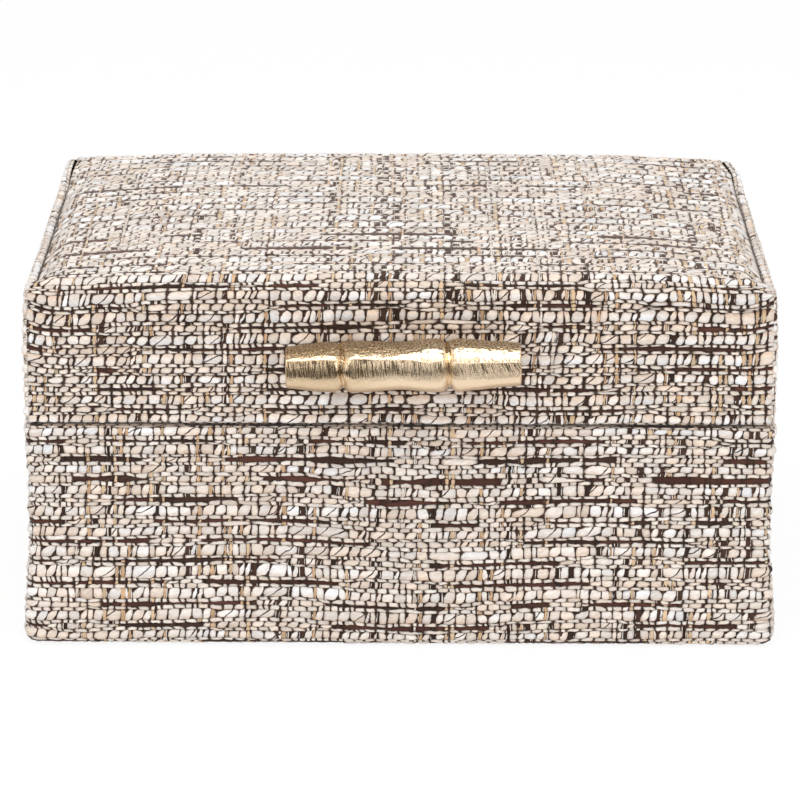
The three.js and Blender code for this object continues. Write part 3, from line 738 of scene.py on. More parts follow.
def outlinePoint(s, inset):
    # a point of the base's outline, inset from the outside, with its outward direction
    radius = band["cornerRadius"]
    lengths = []
    for side in (2 * (halfDepth - radius), 2 * (halfWidth - radius)) * 2:
        lengths += [side, math.pi / 2 * radius]
    ends = np.cumsum(lengths)
    part = np.clip(np.searchsorted(ends, s, side="right"), 0, 7)
    share = (s - np.concatenate([[0], ends])[part]) / np.array(lengths)[part]
    corner = np.maximum(radius, inset)
    core = np.stack([halfWidth - corner, halfDepth - corner], axis=-1)
    signs = np.array([(-1, 1), (-1, -1), (1, -1), (1, 1), (-1, 1)])
    outward = np.array([(-1, 0), (0, -1), (1, 0), (0, 1), (-1, 0)])
    side = part // 2
    turning = part % 2 == 1
    angle = np.where(turning, share * math.pi / 2, 0)
    normal = np.cos(angle)[..., None] * outward[side] + np.sin(angle)[..., None] * outward[side + 1]
    begin, finish = signs[side] * core, signs[side + 1] * core
    centre = np.where(turning[..., None], finish, begin + (finish - begin) * share[..., None])
    return centre + normal * (corner - inset)[..., None], normal


def bandProfile(t):
    # inset, height and slope angle of the band, from the rim's inner edge down and under
    lowRadius = band["lowRadius"]
    arc, lowArc = math.pi / 2 * foldRadius, math.pi / 2 * lowRadius
    steps = np.cumsum([0, rimHem, arc, bandFace, lowArc])
    upper = np.clip((t - steps[1]) / arc, 0, 1) * math.pi / 2
    lower = np.clip((t - steps[3]) / lowArc, 0, 1) * math.pi / 2
    inset = np.clip(steps[1] - t, 0, None) + foldRadius * (1 - np.sin(upper))
    height = wrapHigh[2] - foldRadius * (1 - np.cos(upper)) - np.clip(t - steps[2], 0, bandFace)
    inset = inset + lowRadius * (1 - np.cos(lower)) + np.clip(t - steps[4], 0, None)
    height = height - lowRadius * np.sin(lower) + band["lowDrop"] * np.clip((t - steps[4]) / 3, 0, 1)
    foot = band["flare"] * smooth((band["flareFrom"] - height) / (band["flareFrom"] - band["flareTo"]))
    inset = inset - foot - band["rimFlare"] * fade(height, *band["rimFrom"]) * np.sin(upper)
    return inset, height, math.pi / 2 - upper - lower, upper * 2 / math.pi, lower * 2 / math.pi


def makeBand():
    radius = band["cornerRadius"]
    around = 4 * (halfWidth - radius + halfDepth - radius) + 2 * math.pi * radius
    length = rimHem + math.pi / 2 * (foldRadius + band["lowRadius"]) + bandFace + band["shownHem"]
    cloth = weaveCloth(around, length, tweed["seed"] + band["seed"])
    s, t = cloth["across"], cloth["down"]
    inset, z, angle, upper, lower = bandProfile(t)
    flat, normal = outlinePoint(s, inset)
    scale = rims["relief"] + (1 - rims["relief"]) * upper * (1 - band["lowFlatter"] * lower)
    relief = cloth["height"] * scale + rims["shift"] * (1 - upper * (1 - lower))
    relief = pressAtHinges(relief, flat[..., 0], flat[..., 1], z)
    relief[:, [0, -1]] = -band["endSink"]  # where the band's two ends meet
    place = np.empty((*t.shape, 3))
    place[..., :2] = flat + normal * (np.cos(angle) * relief)[..., None]
    place[..., 2] = z + np.sin(angle) * relief
    # the hem goes on flat under the bottom to where it ends
    hemEnd = band["lowRadius"] - band["hemSlack"] + band["hem"]
    place[-1, :, :2] = outlinePoint(s[-1], np.full(t.shape[1], hemEnd))[0]
    piece = clothMesh("base_tweed_band", [{
        "place": place, "cloth": cloth, "downward": True,
        "kept": clearOfLeaves(np.concatenate([flat, z[..., None]], axis=-1)),
        "map": stripMap(s, t, around, length, band["strips"]),
    }])
    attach(piece, "base")
    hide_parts("base_wrap")
    cut = (around * mm, (length - band["shownHem"] + band["hem"]) * mm)


makeBand()

# Tweed over the padded top of the lid, one length from the front rim to the back rim, and the side panels

panel = {
    "seed": 7, "topCorner": 3.5, "lowCorner": 1.55, "wrap": 1.9, "topWrap": 3.5, "relief": 0.7,
    "hemStart": 0.2, "setBack": 0.5, "swell": 0.25,
    "backRaise": 2.0, "raiseFrom": (20, 40),  # the rolls stand higher towards the back
    "leastBow": 0.45, "bow": 0.55, "bowHeight": 14.0,  # the cover draws them in between the corners
    "backBow": 1.0, "backBowFrom": (12, 45), "cornerBow": (0.8, 2.4), "cornerBowFrom": (45, 18),
    "shade": 0.75, "shadeLess": 0.45, "shadeEnds": 0.7, "endsFrom": (54, 6),  # in the groove beside the cover
    "grooveFrom": (2.5, 0.4), "onRoll": (0.35, 2.4),  # angles round the roll
    "sunk": 0.35, "sunkRun": 9, "dim": 0.7,  # warps that are out of sight on the roll
    "closer": 1.15,  # the weft there
    "rimReach": (2.2, 1.2), "behind": (1.1, 0.5), "swellBy": 0.5,
    "hemGap": 0.3, "hemSeed": 4, "mapShare": 0.84, "hemMap": (0.86, 0.13),
}

cover = {
    "seed": 5, "edgeRise": 3.0, "crownRise": 4.3, "edgeRadius": 6.0, "cornerRadius": 2.6,
    "seamDrop": 4.2, "seamReach": 8.5, "seamRaise": 1.6, "strips": 1, "tucked": 1.5, "tuckSlope": 0.9,
    "collarReach": 5.0, "collarEase": 1.2, "collarDrop": 0.75,  # the cloth is pressed round the posts
    "highest": 0.6, "edgeEase": 0.8, "edgeFlatter": 0.7,  # and at its edges
    "flatter": 0.4,  # share of the relief that is pressed flat on the top
    "opener": 0.065,  # the weave is stretched open on the front and the back
    "worn": 0.75, "wornFrom": (-76, 44),  # painted light in the shallow gaps of the top
    "shadeFrom": (20, 30), "shadeLess": 0.6,  # the groove is lighter towards the back
}
rollTop = panelHigh[2]
coverHalf = coverHigh[0] + 1.6  # on the front and the back, where its edge is tucked in behind the roll
topHalf = coverHigh[0] + 0.1


def rollRaise(y):
    return panel["backRaise"] * fade(y, *panel["raiseFrom"])


def rollBow(y, z, side):
    # how far the rolls and the cover's edges are drawn in
    bow = panel["leastBow"] + panel["bow"] * (1 - np.clip(y / halfDepth, -1, 1) ** 2)
    left, right = panel["cornerBow"]
    corner = np.where(side > 0, right, left) * fade(y, *panel["cornerBowFrom"])
    bow = bow + panel["backBow"] * fade(y, *panel["backBowFrom"]) + corner
    return bow * smooth(1 - (rollTop - z) / panel["bowHeight"])


def sideDip(x):
    return np.clip((np.abs(x) - coverHalf + cover["seamReach"]) / cover["seamReach"], 0, 1) ** 2


# Foam of the lid: swollen by a cloth simulation, glued to the top panel underneath

foam = {
    "voxel": 4.5, "pressure": 4.0, "frames": 20, "cap": 2.0, "fill": 0.8, "smaller": 0.99, "cell": 9.0,
    "glued": 1.0, "side": 1.5,  # heights from its underside
    "underCloth": 1.3, "inset": 1.6,
}


def meshPoints(mesh):
    points = np.empty(len(mesh.vertices) * 3, np.float32)
    mesh.vertices.foreach_get("co", points)
    return points.reshape(-1, 3).astype(float) / mm


def setPoints(mesh, points):
    mesh.vertices.foreach_set("co", (points * mm).astype(np.float32).ravel())


def settled(piece):
    # the piece's mesh with its modifiers applied
    bpy.context.view_layer.update()
    seen = piece.evaluated_get(bpy.context.evaluated_depsgraph_get())
    return bpy.data.meshes.new_from_object(seen)


def swellFoam():
    # the swollen pad, and how far each of its points rose
    scene = bpy.context.scene
    piece = bpy.data.objects.new("lid_foam_pillow", frame["nodes"]["lid_foam_pad"].data.copy())
    scene.collection.objects.link(piece)
    coarse = piece.modifiers.new("coarse", "REMESH")
    coarse.mode = "VOXEL"
    coarse.voxel_size = foam["voxel"] * mm
    piece.data = settled(piece)
    piece.modifiers.clear()
    start = meshPoints(piece.data)
    low, high = start.min(axis=0), start.max(axis=0)
    middle = (low + high) / 2
    start[:, :2] = middle[:2] + (start[:, :2] - middle[:2]) * foam["smaller"]
    setPoints(piece.data, start)
    glued = piece.vertex_groups.new(name="glued")
    glued.add([int(k) for k in np.flatnonzero(start[:, 2] < low[2] + foam["glued"])], 1.0, "REPLACE")
    swell = piece.modifiers.new("swell", "CLOTH")
    swell.settings.use_pressure = True
    swell.settings.uniform_pressure_force = foam["pressure"]
    swell.settings.effector_weights.gravity = 0
    swell.settings.vertex_group_mass = "glued"
    for number in range(1, foam["frames"] + 1):
        scene.frame_set(number)
    move = meshPoints(settled(piece)) - start
    scene.frame_set(1)
    piece.modifiers.clear()
    far = np.linalg.norm(move, axis=1, keepdims=True)
    move *= np.minimum(1, foam["cap"] / np.maximum(far, 1e-6))
    return piece, start, move


def liftOver(start, move):
    # how far the top of the pad rose, as a smooth function of the place
    low, high = start.min(axis=0), start.max(axis=0)
    top = start[:, 2] > low[2] + foam["side"]
    bins = [np.linspace(low[k], high[k], int((high[k] - low[k]) / foam["cell"]) + 1) for k in (0, 1)]
    place = (start[top, 0], start[top, 1])
    total = np.histogram2d(*place, bins=bins, weights=move[top, 2])[0]
    lift = total / np.maximum(np.histogram2d(*place, bins=bins)[0], 1)
    for _ in range(2):
        wide = np.pad(lift, 1, mode="edge")
        lift = sum(wide[i:i + lift.shape[0], j:j + lift.shape[1]] for i in range(3) for j in range(3)) / 9
    print(f"lid_foam_pillow: rose {lift.max():.2f} mm, {lift[:, -1].max():.2f} mm at the back edge")

    def at(x, y):
        u = np.clip((x - low[0]) / (high[0] - low[0]) * lift.shape[0] - 0.5, 0, lift.shape[0] - 1.001)
        v = np.clip((y - low[1]) / (high[1] - low[1]) * lift.shape[1] - 0.5, 0, lift.shape[1] - 1.001)
        i, j = np.floor(u).astype(int), np.floor(v).astype(int)
        f, g = u - i, v - j
        front = lift[i, j] * (1 - f) + lift[i + 1, j] * f
        return front * (1 - g) + (lift[i, j + 1] * (1 - f) + lift[i + 1, j + 1] * f) * g
    return at


foamPiece, foamStart, foamMove = swellFoam()
foamLift = liftOver(foamStart, foamMove)


def padHeight(x, y):
    bulge = (1 - (x / coverHalf) ** 2) * (1 - (y / halfDepth) ** 2)
    rise = cover["edgeRise"] + (cover["crownRise"] - cover["edgeRise"]) * bulge
    dip = sideDip(x)
    drop = (cover["seamDrop"] - cover["seamRaise"] * rollRaise(y)) * dip
    return rollTop + rise + foamLift(x, y) * (1 - dip) - drop


def makeFoam():
    points = foamStart + foamMove
    under = padHeight(points[:, 0], points[:, 1]) - foam["underCloth"]  # the cloth lies on it
    points[:, 2] = np.minimum(points[:, 2], under)
    for k, most in enumerate((topHalf, halfDepth)):
        points[:, k] = np.clip(points[:, k], foam["inset"] - most, most - foam["inset"])
    setPoints(foamPiece.data, points)
    foamPiece.data.shade_smooth()
    finer = foamPiece.modifiers.new("finer", "SUBSURF")
    finer.levels = 1
    finer.render_levels = 1
    made, wire, shader = material("open_cell_foam", {"Roughness": 0.95, "Specular IOR Level": 0.2})
    cells = wire.node("ShaderNodeTexVoronoi", links={"Vector": wire.objectPlace(), "Scale": 1400.0})
    feed(shader, "Base Color", cells.ramp(0.1, 0.6).mix(srgb(206, 200, 176), srgb(243, 240, 228)))
    feed(shader, "Normal", bump(cells, 0.5, 0.4 * mm))
    foamPiece.data.materials.clear()
    foamPiece.data.materials.append(made)
    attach(foamPiece, "lid")
    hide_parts("lid_foam_pad")
    foam["fill"]


makeFoam()

# Cover

def coverPlace(x, t):
    # nominal point of the cover, t along its length from the front hem
    arc = math.pi / 2 * foldRadius
    rimZ = coverLow[2]
    radius0 = cover["edgeRadius"]
    face0 = padHeight(0.0, halfDepth - radius0) - radius0 - rimZ - foldRadius
    bend0 = math.pi / 2 * radius0
    top0 = 2 * (halfDepth - radius0)
    marks = np.cumsum([0, rimHem, arc, face0, bend0, top0, bend0, face0, arc, rimHem])
    total = marks[-1]
    front = t < total / 2
    near = np.minimum(t, total - t)  # the back mirrors the front
    radius = radius0 + (cover["cornerRadius"] - radius0) * sideDip(x)
    centreY = halfDepth - radius
    level = padHeight(x, centreY) - radius
    share = [np.clip((near - marks[k]) / (marks[k + 1] - marks[k]), 0, 1) for k in range(4)]
    fold, bend = share[1] * math.pi / 2, share[3] * math.pi / 2
    y = wallInner + rimHem * share[0] + foldRadius * np.sin(fold)
    z = rimZ + foldRadius * (1 - np.cos(fold)) + (level - rimZ - foldRadius) * share[2]
    y = y - radius * (1 - np.cos(bend))
    z = z + radius * np.sin(bend)
    onTop = near > marks[4]
    topY = centreY * (2 * np.clip((t - marks[4]) / top0, 0, 1) - 1)
    y = np.where(onTop, topY, np.where(front, -y, y))
    z = np.where(onTop, padHeight(x, topY), z)
    wide = coverHalf + (topHalf - coverHalf) * share[3]
    x = x * (wide - rollBow(y, z, x)) / coverHalf
    return np.stack([x, y, z], axis=-1), share, total


def paintCoverShadeAndLight(cloth, nominal, onTop, beyond):
    # paints shade on the edges beside the rolls, opens the weave on the faces and paints light into the gaps
    # of the top
    cells = cloth["cells"]
    tint = cells["cellTint"]
    y = cellMiddles(nominal)[..., 1]
    # painted shade on the edges tucked in beside the rolls, less on the front and back faces and less towards
    # the back
    deep = np.clip((beyond[:-1, :-1] + beyond[1:, 1:]) / 2 + 0.5, 0, 0.5)
    deep = deep * (0.4 + 0.6 * onTop) * (1 - cover["shadeLess"] * fade(y, *cover["shadeFrom"]))
    tint *= 1 - deep[..., None]
    # painted light on the top: its gaps and its dark cells are made lighter
    worn = (cover["worn"] * onTop * fade(y, *cover["wornFrom"]))[..., None]
    cloth["corners"][..., 2] *= 1 + worn
    cells["cellSize"][..., :2] *= 1 - cover["opener"] * (1 - smooth(1.6 * onTop[..., None]))
    dim = tint.sum(axis=-1, keepdims=True) < 0.4
    tint += dim * worn * (0.5 * np.array(tweed["lightGap"]) - 0.5 * tint)


def makeCover():
    total = coverPlace(np.zeros(1), np.zeros(1))[2]
    wholeHalf = coverHalf + cover["tucked"]
    cloth = weaveCloth(2 * wholeHalf, total, tweed["seed"] + cover["seed"], lean=-1)
    x, t = cloth["across"] - wholeHalf, cloth["down"]
    past = np.clip(np.abs(x) - coverHalf, 0, None)  # the edges turn down behind the rolls
    x = np.sign(x) * (np.abs(x) - cover["tuckSlope"] * past)
    nominal, share, _ = coverPlace(x, t)
    y, z = nominal[..., 1], nominal[..., 2]
    normal = np.cross(np.gradient(nominal, axis=1), np.gradient(nominal, axis=0))
    normal /= np.linalg.norm(normal, axis=-1, keepdims=True)
    paintCoverShadeAndLight(cloth, nominal, share[3][:-1, :-1], np.abs(x) + cover["tuckSlope"] * past - coverHalf)
    scale = (rims["relief"] + (1 - rims["relief"]) * share[1]) * (1 - cover["flatter"] * smooth(share[3]))
    relief = cloth["height"] * scale + rims["shift"] * (1 - share[1])
    edge = np.clip((np.abs(x) - coverHalf + cover["edgeEase"]) / cover["edgeEase"], 0, 1)
    relief = relief * (1 - cover["edgeFlatter"] * edge)
    relief = pressAtHinges(relief, x, y, z)
    for side in ("left", "right"):
        postX, _, postZ = np.mean(nodeBox(f"handle_post_{side}"), axis=0)
        apart = np.hypot(x - postX, z - postZ)
        inward = cover["collarReach"] + cover["collarEase"] / 2 - apart
        pressed = np.clip(inward / cover["collarEase"], 0, 1) * (y < 0)
        relief = np.minimum(relief, cover["highest"] - cover["collarDrop"] * pressed)
    place = nominal + normal * relief[..., None]
    place -= normal[:, [normal.shape[1] // 2]] * past[..., None]
    piece = clothMesh("lid_tweed_cover", [{
        "place": place, "cloth": cloth, "downward": False, "kept": clearOfLeaves(nominal),
        "map": stripMap(cloth["across"], t, 2 * wholeHalf, total, cover["strips"]),
    }])
    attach(piece, "lid")
    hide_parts("lid_cover")
    cut = (2 * wholeHalf * mm, total * mm)


makeCover()

# Side panels of the lid: tweed folded round a card, with a rolled edge

rollRadius = (panelHigh[0] - nodeBox("lid_right_wall")[1][0]) / 2


def panelPlace(y, z, side):
    # folds the flat cloth round the card's rounded edge
    topRound, lowRound = panel["topCorner"] - rollRadius, panel["lowCorner"] - rollRadius
    lowZ, highZ = coverLow[2] + rollRadius, rollTop - rollRadius + rollRaise(y)
    corner = np.where(z > (lowZ + highZ) / 2, topRound, lowRound)
    innerY = halfDepth - panel["setBack"] - rollRadius - corner
    coreY = np.clip(y, -innerY, innerY)
    coreZ = np.clip(z, lowZ + corner, highZ - corner)
    awayY, awayZ = y - coreY, z - coreZ
    away = np.hypot(awayY, awayZ)
    past = np.clip(away - corner, 0, None)
    safe = np.maximum(away, 1e-6)
    outY, outZ = awayY / safe, awayZ / safe
    most = panel["wrap"] + (panel["topWrap"] - panel["wrap"]) * np.clip(outZ, 0, 1)
    angle = np.minimum(past / rollRadius, most)
    out = np.minimum(away, corner) + rollRadius * np.sin(angle)
    placeY, placeZ = coreY + outY * out, coreZ + outZ * out
    drawn = rollBow(placeY, placeZ, side)
    placeX = side * (halfWidth - drawn - rollRadius + rollRadius * np.cos(angle))
    normal = np.stack([side * np.cos(angle), outY * np.sin(angle), outZ * np.sin(angle)], axis=-1)
    return np.stack([placeX, placeY, placeZ], axis=-1), normal, angle


def shadeRoll(cloth, angle, y, side):
    # the roll is shaded in the groove beside the cover
    cells = cloth["cells"]
    inner = (angle[:-1, :-1] + angle[1:, 1:]) / 2
    shaded = panel["shade"] - panel["shadeLess"] * fade(y, *cover["shadeFrom"])
    start, reach = panel["grooveFrom"]
    shaded = shaded * np.clip((inner - start) / reach, 0, 1)
    shaded *= 1 - panel["shadeEnds"] * fade(np.abs(y), *panel["endsFrom"])
    cells["cellTint"] *= 1 - shaded[..., None]
    # pulled tight on the roll, the pale weft closes up and only some of the dark warps show
    first, last = panel["onRoll"]
    onRoll = (inner > first) & (inner < last)
    columns, run = inner.shape[1], panel["sunkRun"]
    chance = np.random.default_rng(tweed["seed"] + side).random(columns // run + 1)
    sunk = chance.repeat(run)[:columns] < panel["sunk"]
    cells["cellSize"][onRoll, :2] *= panel["closer"]
    cells["cellThread"][onRoll] = noThread
    dim = cells["cellTint"].sum(axis=-1) < panel["dim"]
    cells["cellTint"][onRoll & sunk & dim] = tweed["tints"]["spaced"][0]


def panelHem(side):
    # the strip of tweed under the rim, with its flat width and length
    end = wallInner - panel["hemGap"]
    low, high = nodeBox("lid_right_wall")[0][0], halfWidth - rollRadius - panel["hemStart"]
    cloth = weaveCloth(2 * end, high - low, tweed["seed"] + panel["seed"] + panel["hemSeed"] + side)
    x, y = side * (high - cloth["down"]), side * (cloth["across"] - end)
    z = coverLow[2] - (cloth["height"] * rims["relief"] + rims["shift"])
    return {
        "place": np.stack([x, y, z], axis=-1), "cloth": cloth, "downward": True,
        "kept": np.ones(np.array(y.shape) - 1, bool),
        "map": stripMap(cloth["across"], cloth["down"], 2 * end, high - low, 1, *panel["hemMap"]),
    }, 2 * end, high - low


def makePanel(side, hand):
    reach = rollRadius * (panel["topWrap"] - 1)  # cloth past the outline
    width = 2 * (halfDepth + reach)
    length = rollTop - coverLow[2] + 2 * reach
    cloth = weaveCloth(width, length, tweed["seed"] + panel["seed"] + side)
    y = side * (cloth["across"] - width / 2)
    z = rollTop + reach - cloth["down"]
    nominal, normal, angle = panelPlace(y, z, side)
    (rimReach, rimEase), (start, ease) = panel["rimReach"], panel["behind"]
    low = np.clip((coverLow[2] + rimReach - nominal[..., 2]) / rimEase, 0, 1)
    pressed = np.maximum(low, np.clip((angle - start) / ease, 0, 1))
    relief = cloth["height"] * panel["relief"] * (1 - (1 - rims["relief"]) * pressed)
    swell = panel["swell"] * np.clip(angle / panel["swellBy"], 0, 1) * (1 - low)
    relief = relief + rims["shift"] * pressed + swell
    shadeRoll(cloth, angle, cellMiddles(nominal)[..., 1], side)
    plate = {
        "place": nominal + normal * relief[..., None], "cloth": cloth, "downward": True,
        "kept": np.ones(np.array(y.shape) - 1, bool),
        "map": stripMap(cloth["across"], cloth["down"], width, length, 2, 0.0, panel["mapShare"]),
    }
    hem, hemWidth, hemLength = panelHem(side)
    piece = clothMesh(f"lid_tweed_side_{hand}", [plate, hem])
    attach(piece, "lid")
    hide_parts(f"lid_side_panel_{hand}")
    area = (width * length + hemWidth * hemLength) * mm * mm
    cut = (width * mm, (length + hemLength) * mm)


makePanel(-1, "left")
makePanel(1, "right")

# Bamboo handle: a cast bar of three segments, its places along the axis from the middle of the posts

bar = {
    "seed": 31, "ends": (-29.2, 32.3), "knots": (-13.7, 13.7), "tilt": 1.1, "reach": 12.0,
    "endRadius": 5.5, "endRound": 0.5, "waist": 6.2,
    "grooves": (-14.5, 13.2), "groove": 5.3, "ring": 5.25, "grooveAt": 0.3,
    "crests": ((6.65, 6.8), (7.05, 6.95)), "crestAt": 3.1,  # before and after each groove
    "seat": 5.2, "seatHalf": 4.2, "fullBack": 2.6,  # flats behind for the posts
    "facetAt": 41.0,  # degrees above level: a filed facet, with places along it and its half width there
    "facets": [(-29, 3), (-15, 5), (-12, 4), (0, 6), (4, 9), (8, 17), (12, 13), (16, 19), (32, 18)],
    "steps": (330, 200), "caps": (0.0, 0.4, 0.8), "crooked": 0.5, "crookedStep": 4.0,
    "grain": 0.1, "grainStep": 0.6, "grainFrom": (40, 20), "cast": 0.1, "castStep": 4.0,
    "tints": [srgb(168, 130, 78), srgb(214, 186, 148), srgb(246, 222, 190)], "roughness": 0.14,
}


def barRadius(u):
    low, high = bar["ends"]
    places, radii = [low], [bar["endRadius"]]
    for knot, (before, after) in zip(bar["grooves"], bar["crests"]):
        steps = (-bar["crestAt"], -bar["grooveAt"], 0, bar["grooveAt"], bar["crestAt"])
        places += [knot + step for step in steps]
        radii += [before, bar["groove"], bar["ring"], bar["groove"], after]
    places.insert(6, 0.0)
    radii.insert(6, bar["waist"])
    places, radii = np.array(places + [high]), np.array(radii + [bar["endRadius"]])
    k = np.clip(np.searchsorted(places, u, side="right") - 1, 0, len(places) - 2)
    share = (u - places[k]) / (places[k + 1] - places[k])
    before, after = radii[k], radii[k + 1]
    straight = before + (after - before) * 0.5 * (share + smooth(share))
    up = np.where(after > before, share, 1 - share)
    rounded = np.minimum(before, after) + np.abs(after - before) * np.sqrt(np.clip(1 - (1 - up) ** 2, 0, 1))
    short = places[k + 1] - places[k] < 4  # the segments end round at the grooves
    inward = bar["endRound"] - np.clip(np.minimum(u - low, high - u), 0, bar["endRound"])
    ending = np.sqrt(np.clip(bar["endRound"] ** 2 - inward ** 2, 0, None))
    return np.where(short, rounded, straight) - bar["endRound"] + ending


def makeCastBrass():
    made, wire, shader = material("cast_brass", {"Metallic": 1.0})
    dark, middle, pale = bar["tints"]
    along, around, angle = wire.attribute("barPlace").parts()
    grain = wire.noise(wire.vector(along, around, 0.0), 1.9, 3.0, 0.6)
    slope = 0.25 + 1.1 * along.ramp(6.0, 24.0)  # the file marks slant towards the right
    filed = wire.noise(wire.vector(along * 3.4 + around * slope, around * 0.16, 3.0), 1.0, 3.0, 0.65)
    blotch = wire.noise(wire.vector(along, around, 7.0), 0.6, 2.0, 0.6)
    ragged = angle + 34 * (blotch - 0.5) + 16 * (grain - 0.5)
    rough = (ragged - 16 * along.ramp(-4.0, 10.0)).ramp(40.0, 54.0)
    worked = ragged.ramp(36.0, 26.0) * angle.ramp(-20.0, -6.0)
    low = ragged.ramp(-6.0, -20.0)
    pits = rough * grain.ramp(0.56, 0.4)
    bright = along.ramp(-16.0, 0.0)  # more polished towards the right
    scratch = worked * (filed + 0.05 * bright).ramp(0.5, 0.68)
    feed(shader, "Base Color", pits.mix((grain + 0.6 * bright - 0.1).mix(middle, pale), dark))
    dull = bar["roughness"] + 0.1 * rough + 0.16 * low + 0.08 * grain
    feed(shader, "Roughness", dull + 0.05 * bright * worked)
    relief = rough * grain * 1.5 + scratch * (0.6 + 0.3 * bright)
    relief = relief + low * blotch * 0.5 + 0.06 * grain + 0.3 * blotch
    feed(shader, "Normal", bump(relief, 0.55, 0.3 * mm))
    return made


def barSurface(place, angle, arc):
    # the worked and cast surface round the bar's own axis
    rng = np.random.default_rng(tweed["seed"] + bar["seed"])
    low, high = bar["ends"]
    stray = bar["crooked"] * waveField(rng, place - low, arc, bar["crookedStep"])
    radius = barRadius(place + stray * np.clip((place - low) * (high - place) / 40, 0, 1))
    shown = np.clip((math.pi - np.abs(angle)) / 0.4, 0, 1)  # no step at the seam behind
    radius = radius + shown * bar["cast"] * waveField(rng, place - low, arc, bar["castStep"])
    top = fade(np.degrees(angle), *bar["grainFrom"]) * shown
    radius = radius + top * bar["grain"] * waveField(rng, place - low, arc, bar["grainStep"])
    half = np.radians(np.interp(place, *zip(*bar["facets"])))
    off = np.clip(angle - math.radians(bar["facetAt"]), -half, half)
    radius = radius * np.where(np.abs(off) < half, np.cos(half) / np.cos(off), 1)
    near = np.min([np.abs(place - knot) for knot in bar["knots"]], axis=0)
    limit = bar["seat"] + bar["fullBack"] * fade(near, bar["seatHalf"], 1.0)
    grid = np.stack([place, np.minimum(-radius * np.cos(angle), limit), radius * np.sin(angle)], axis=-1)
    start = [grid[0] * (1, share, share) for share in bar["caps"]]
    end = [grid[-1] * (1, share, share) for share in reversed(bar["caps"])]
    return np.concatenate([start, grid, end])


def makeBar():
    columns, around = bar["steps"]
    turn = np.linspace(-math.pi, math.pi, around + 1)
    place, angle = np.meshgrid(np.linspace(*bar["ends"], columns), turn, indexing="ij")
    arc = (angle + math.pi) * bar["waist"]
    grid = barSurface(place, angle, arc)
    shape = grid.shape[:2]
    barPlace = [grid[..., 0], np.broadcast_to(arc[0], shape), np.broadcast_to(np.degrees(turn), shape)]
    barPlace = np.stack(barPlace, axis=-1)
    # stands before the posts, right end up
    middle = np.mean([nodeBox(f"handle_post_{side}") for side in ("left", "right")], axis=(0, 1))
    tilt = math.radians(bar["tilt"])
    x = middle[0] + grid[..., 0] * math.cos(tilt) - grid[..., 2] * math.sin(tilt)
    z = middle[2] + grid[..., 0] * math.sin(tilt) + grid[..., 2] * math.cos(tilt)
    points = np.stack([x, coverLow[1] - bar["reach"] + grid[..., 1], z], axis=-1)[:, :-1]
    rows = points.shape[0]
    index = np.arange(rows * around).reshape(rows, around)
    ahead = np.roll(index, -1, axis=1)
    quads = np.stack([index[:-1], ahead[:-1], ahead[1:], index[1:]], axis=-1).reshape(-1, 4)
    corner = [barPlace[:-1, :-1], barPlace[:-1, 1:], barPlace[1:, 1:], barPlace[1:, :-1]]
    layers = [("barPlace", "CORNER", np.stack(corner, axis=2))]
    step = np.repeat(np.arange(rows - 1), around)[:, None] + np.array([0, 0, 1, 1])
    side = np.tile(np.arange(around), rows - 1)[:, None] + np.array([0, 1, 1, 0])
    flat = 0.01 + 0.98 * np.stack([step / (rows - 1), side / around], axis=-1)
    piece = meshPiece("handle_bamboo_bar", points.reshape(-1, 3), quads, layers, flat, makeCastBrass())
    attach(piece, "lid")
    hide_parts("handle_bar")


makeBar()

# Finishes of the boards, linings and hardware

finishes = {
    "board": {"tints": [srgb(176, 142, 104), srgb(206, 176, 138)], "bevel": 0.3},
    "lining": {"tints": [srgb(84, 63, 51), srgb(122, 95, 79)], "bevel": 0.5},
    "felt": {"tints": [srgb(22, 20, 19), srgb(52, 48, 45)], "bevel": 0.3},
    "handle_brass": {"tints": [srgb(176, 144, 88), srgb(214, 188, 138)], "bevel": 0.25, "roughness": 0.4},
    "hinge_brass": {"tints": [srgb(196, 160, 96), srgb(212, 178, 114)], "bevel": 0.2, "roughness": 0.26},
    "steel": {"tints": [srgb(150, 151, 153), srgb(196, 197, 199)], "bevel": 0.15, "roughness": 0.3},
}
easedAngle = 50.0  # edges sharper than this are eased


def makeBoard():
    made, wire, shader = material("raw_fibreboard", {"Roughness": 0.85, "Specular IOR Level": 0.3})
    fibre = wire.noise(wire.objectPlace().scaled((900.0, 900.0, 2400.0)), 1.0, 4.0, 0.65)
    feed(shader, "Base Color", fibre.ramp(0.3, 0.7).mix(*finishes["board"]["tints"]))
    feed(shader, "Normal", bump(fibre, 0.3, 0.15 * mm))
    return made


def makeSuede():
    made, wire, shader = material("brown_suede", {
        "Roughness": 0.95, "Specular IOR Level": 0.15, "Sheen Weight": 0.35, "Sheen Roughness": 0.4,
        "Sheen Tint": srgb(190, 165, 148),
    })
    place = wire.objectPlace()
    stroked = wire.noise(place, 55.0, 3.0, 0.55)  # the nap lies in soft patches
    nap = wire.noise(place, 2600.0, 3.0, 0.7)
    light = 0.55 * stroked.ramp(0.35, 0.65) + 0.45 * nap
    feed(shader, "Base Color", light.mix(*finishes["lining"]["tints"]))
    feed(shader, "Normal", bump(nap, 0.35, 0.12 * mm))
    return made


def makeFelt():
    constants = {"Roughness": 1.0, "Specular IOR Level": 0.1, "Sheen Weight": 0.2}
    made, wire, shader = material("black_felt", constants)
    fibre = wire.noise(wire.objectPlace().scaled((1500.0, 500.0, 1500.0)), 1.0, 4.0, 0.7)
    feed(shader, "Base Color", fibre.ramp(0.35, 0.75).mix(*finishes["felt"]["tints"]))
    feed(shader, "Normal", bump(fibre, 0.4, 0.2 * mm))
    return made


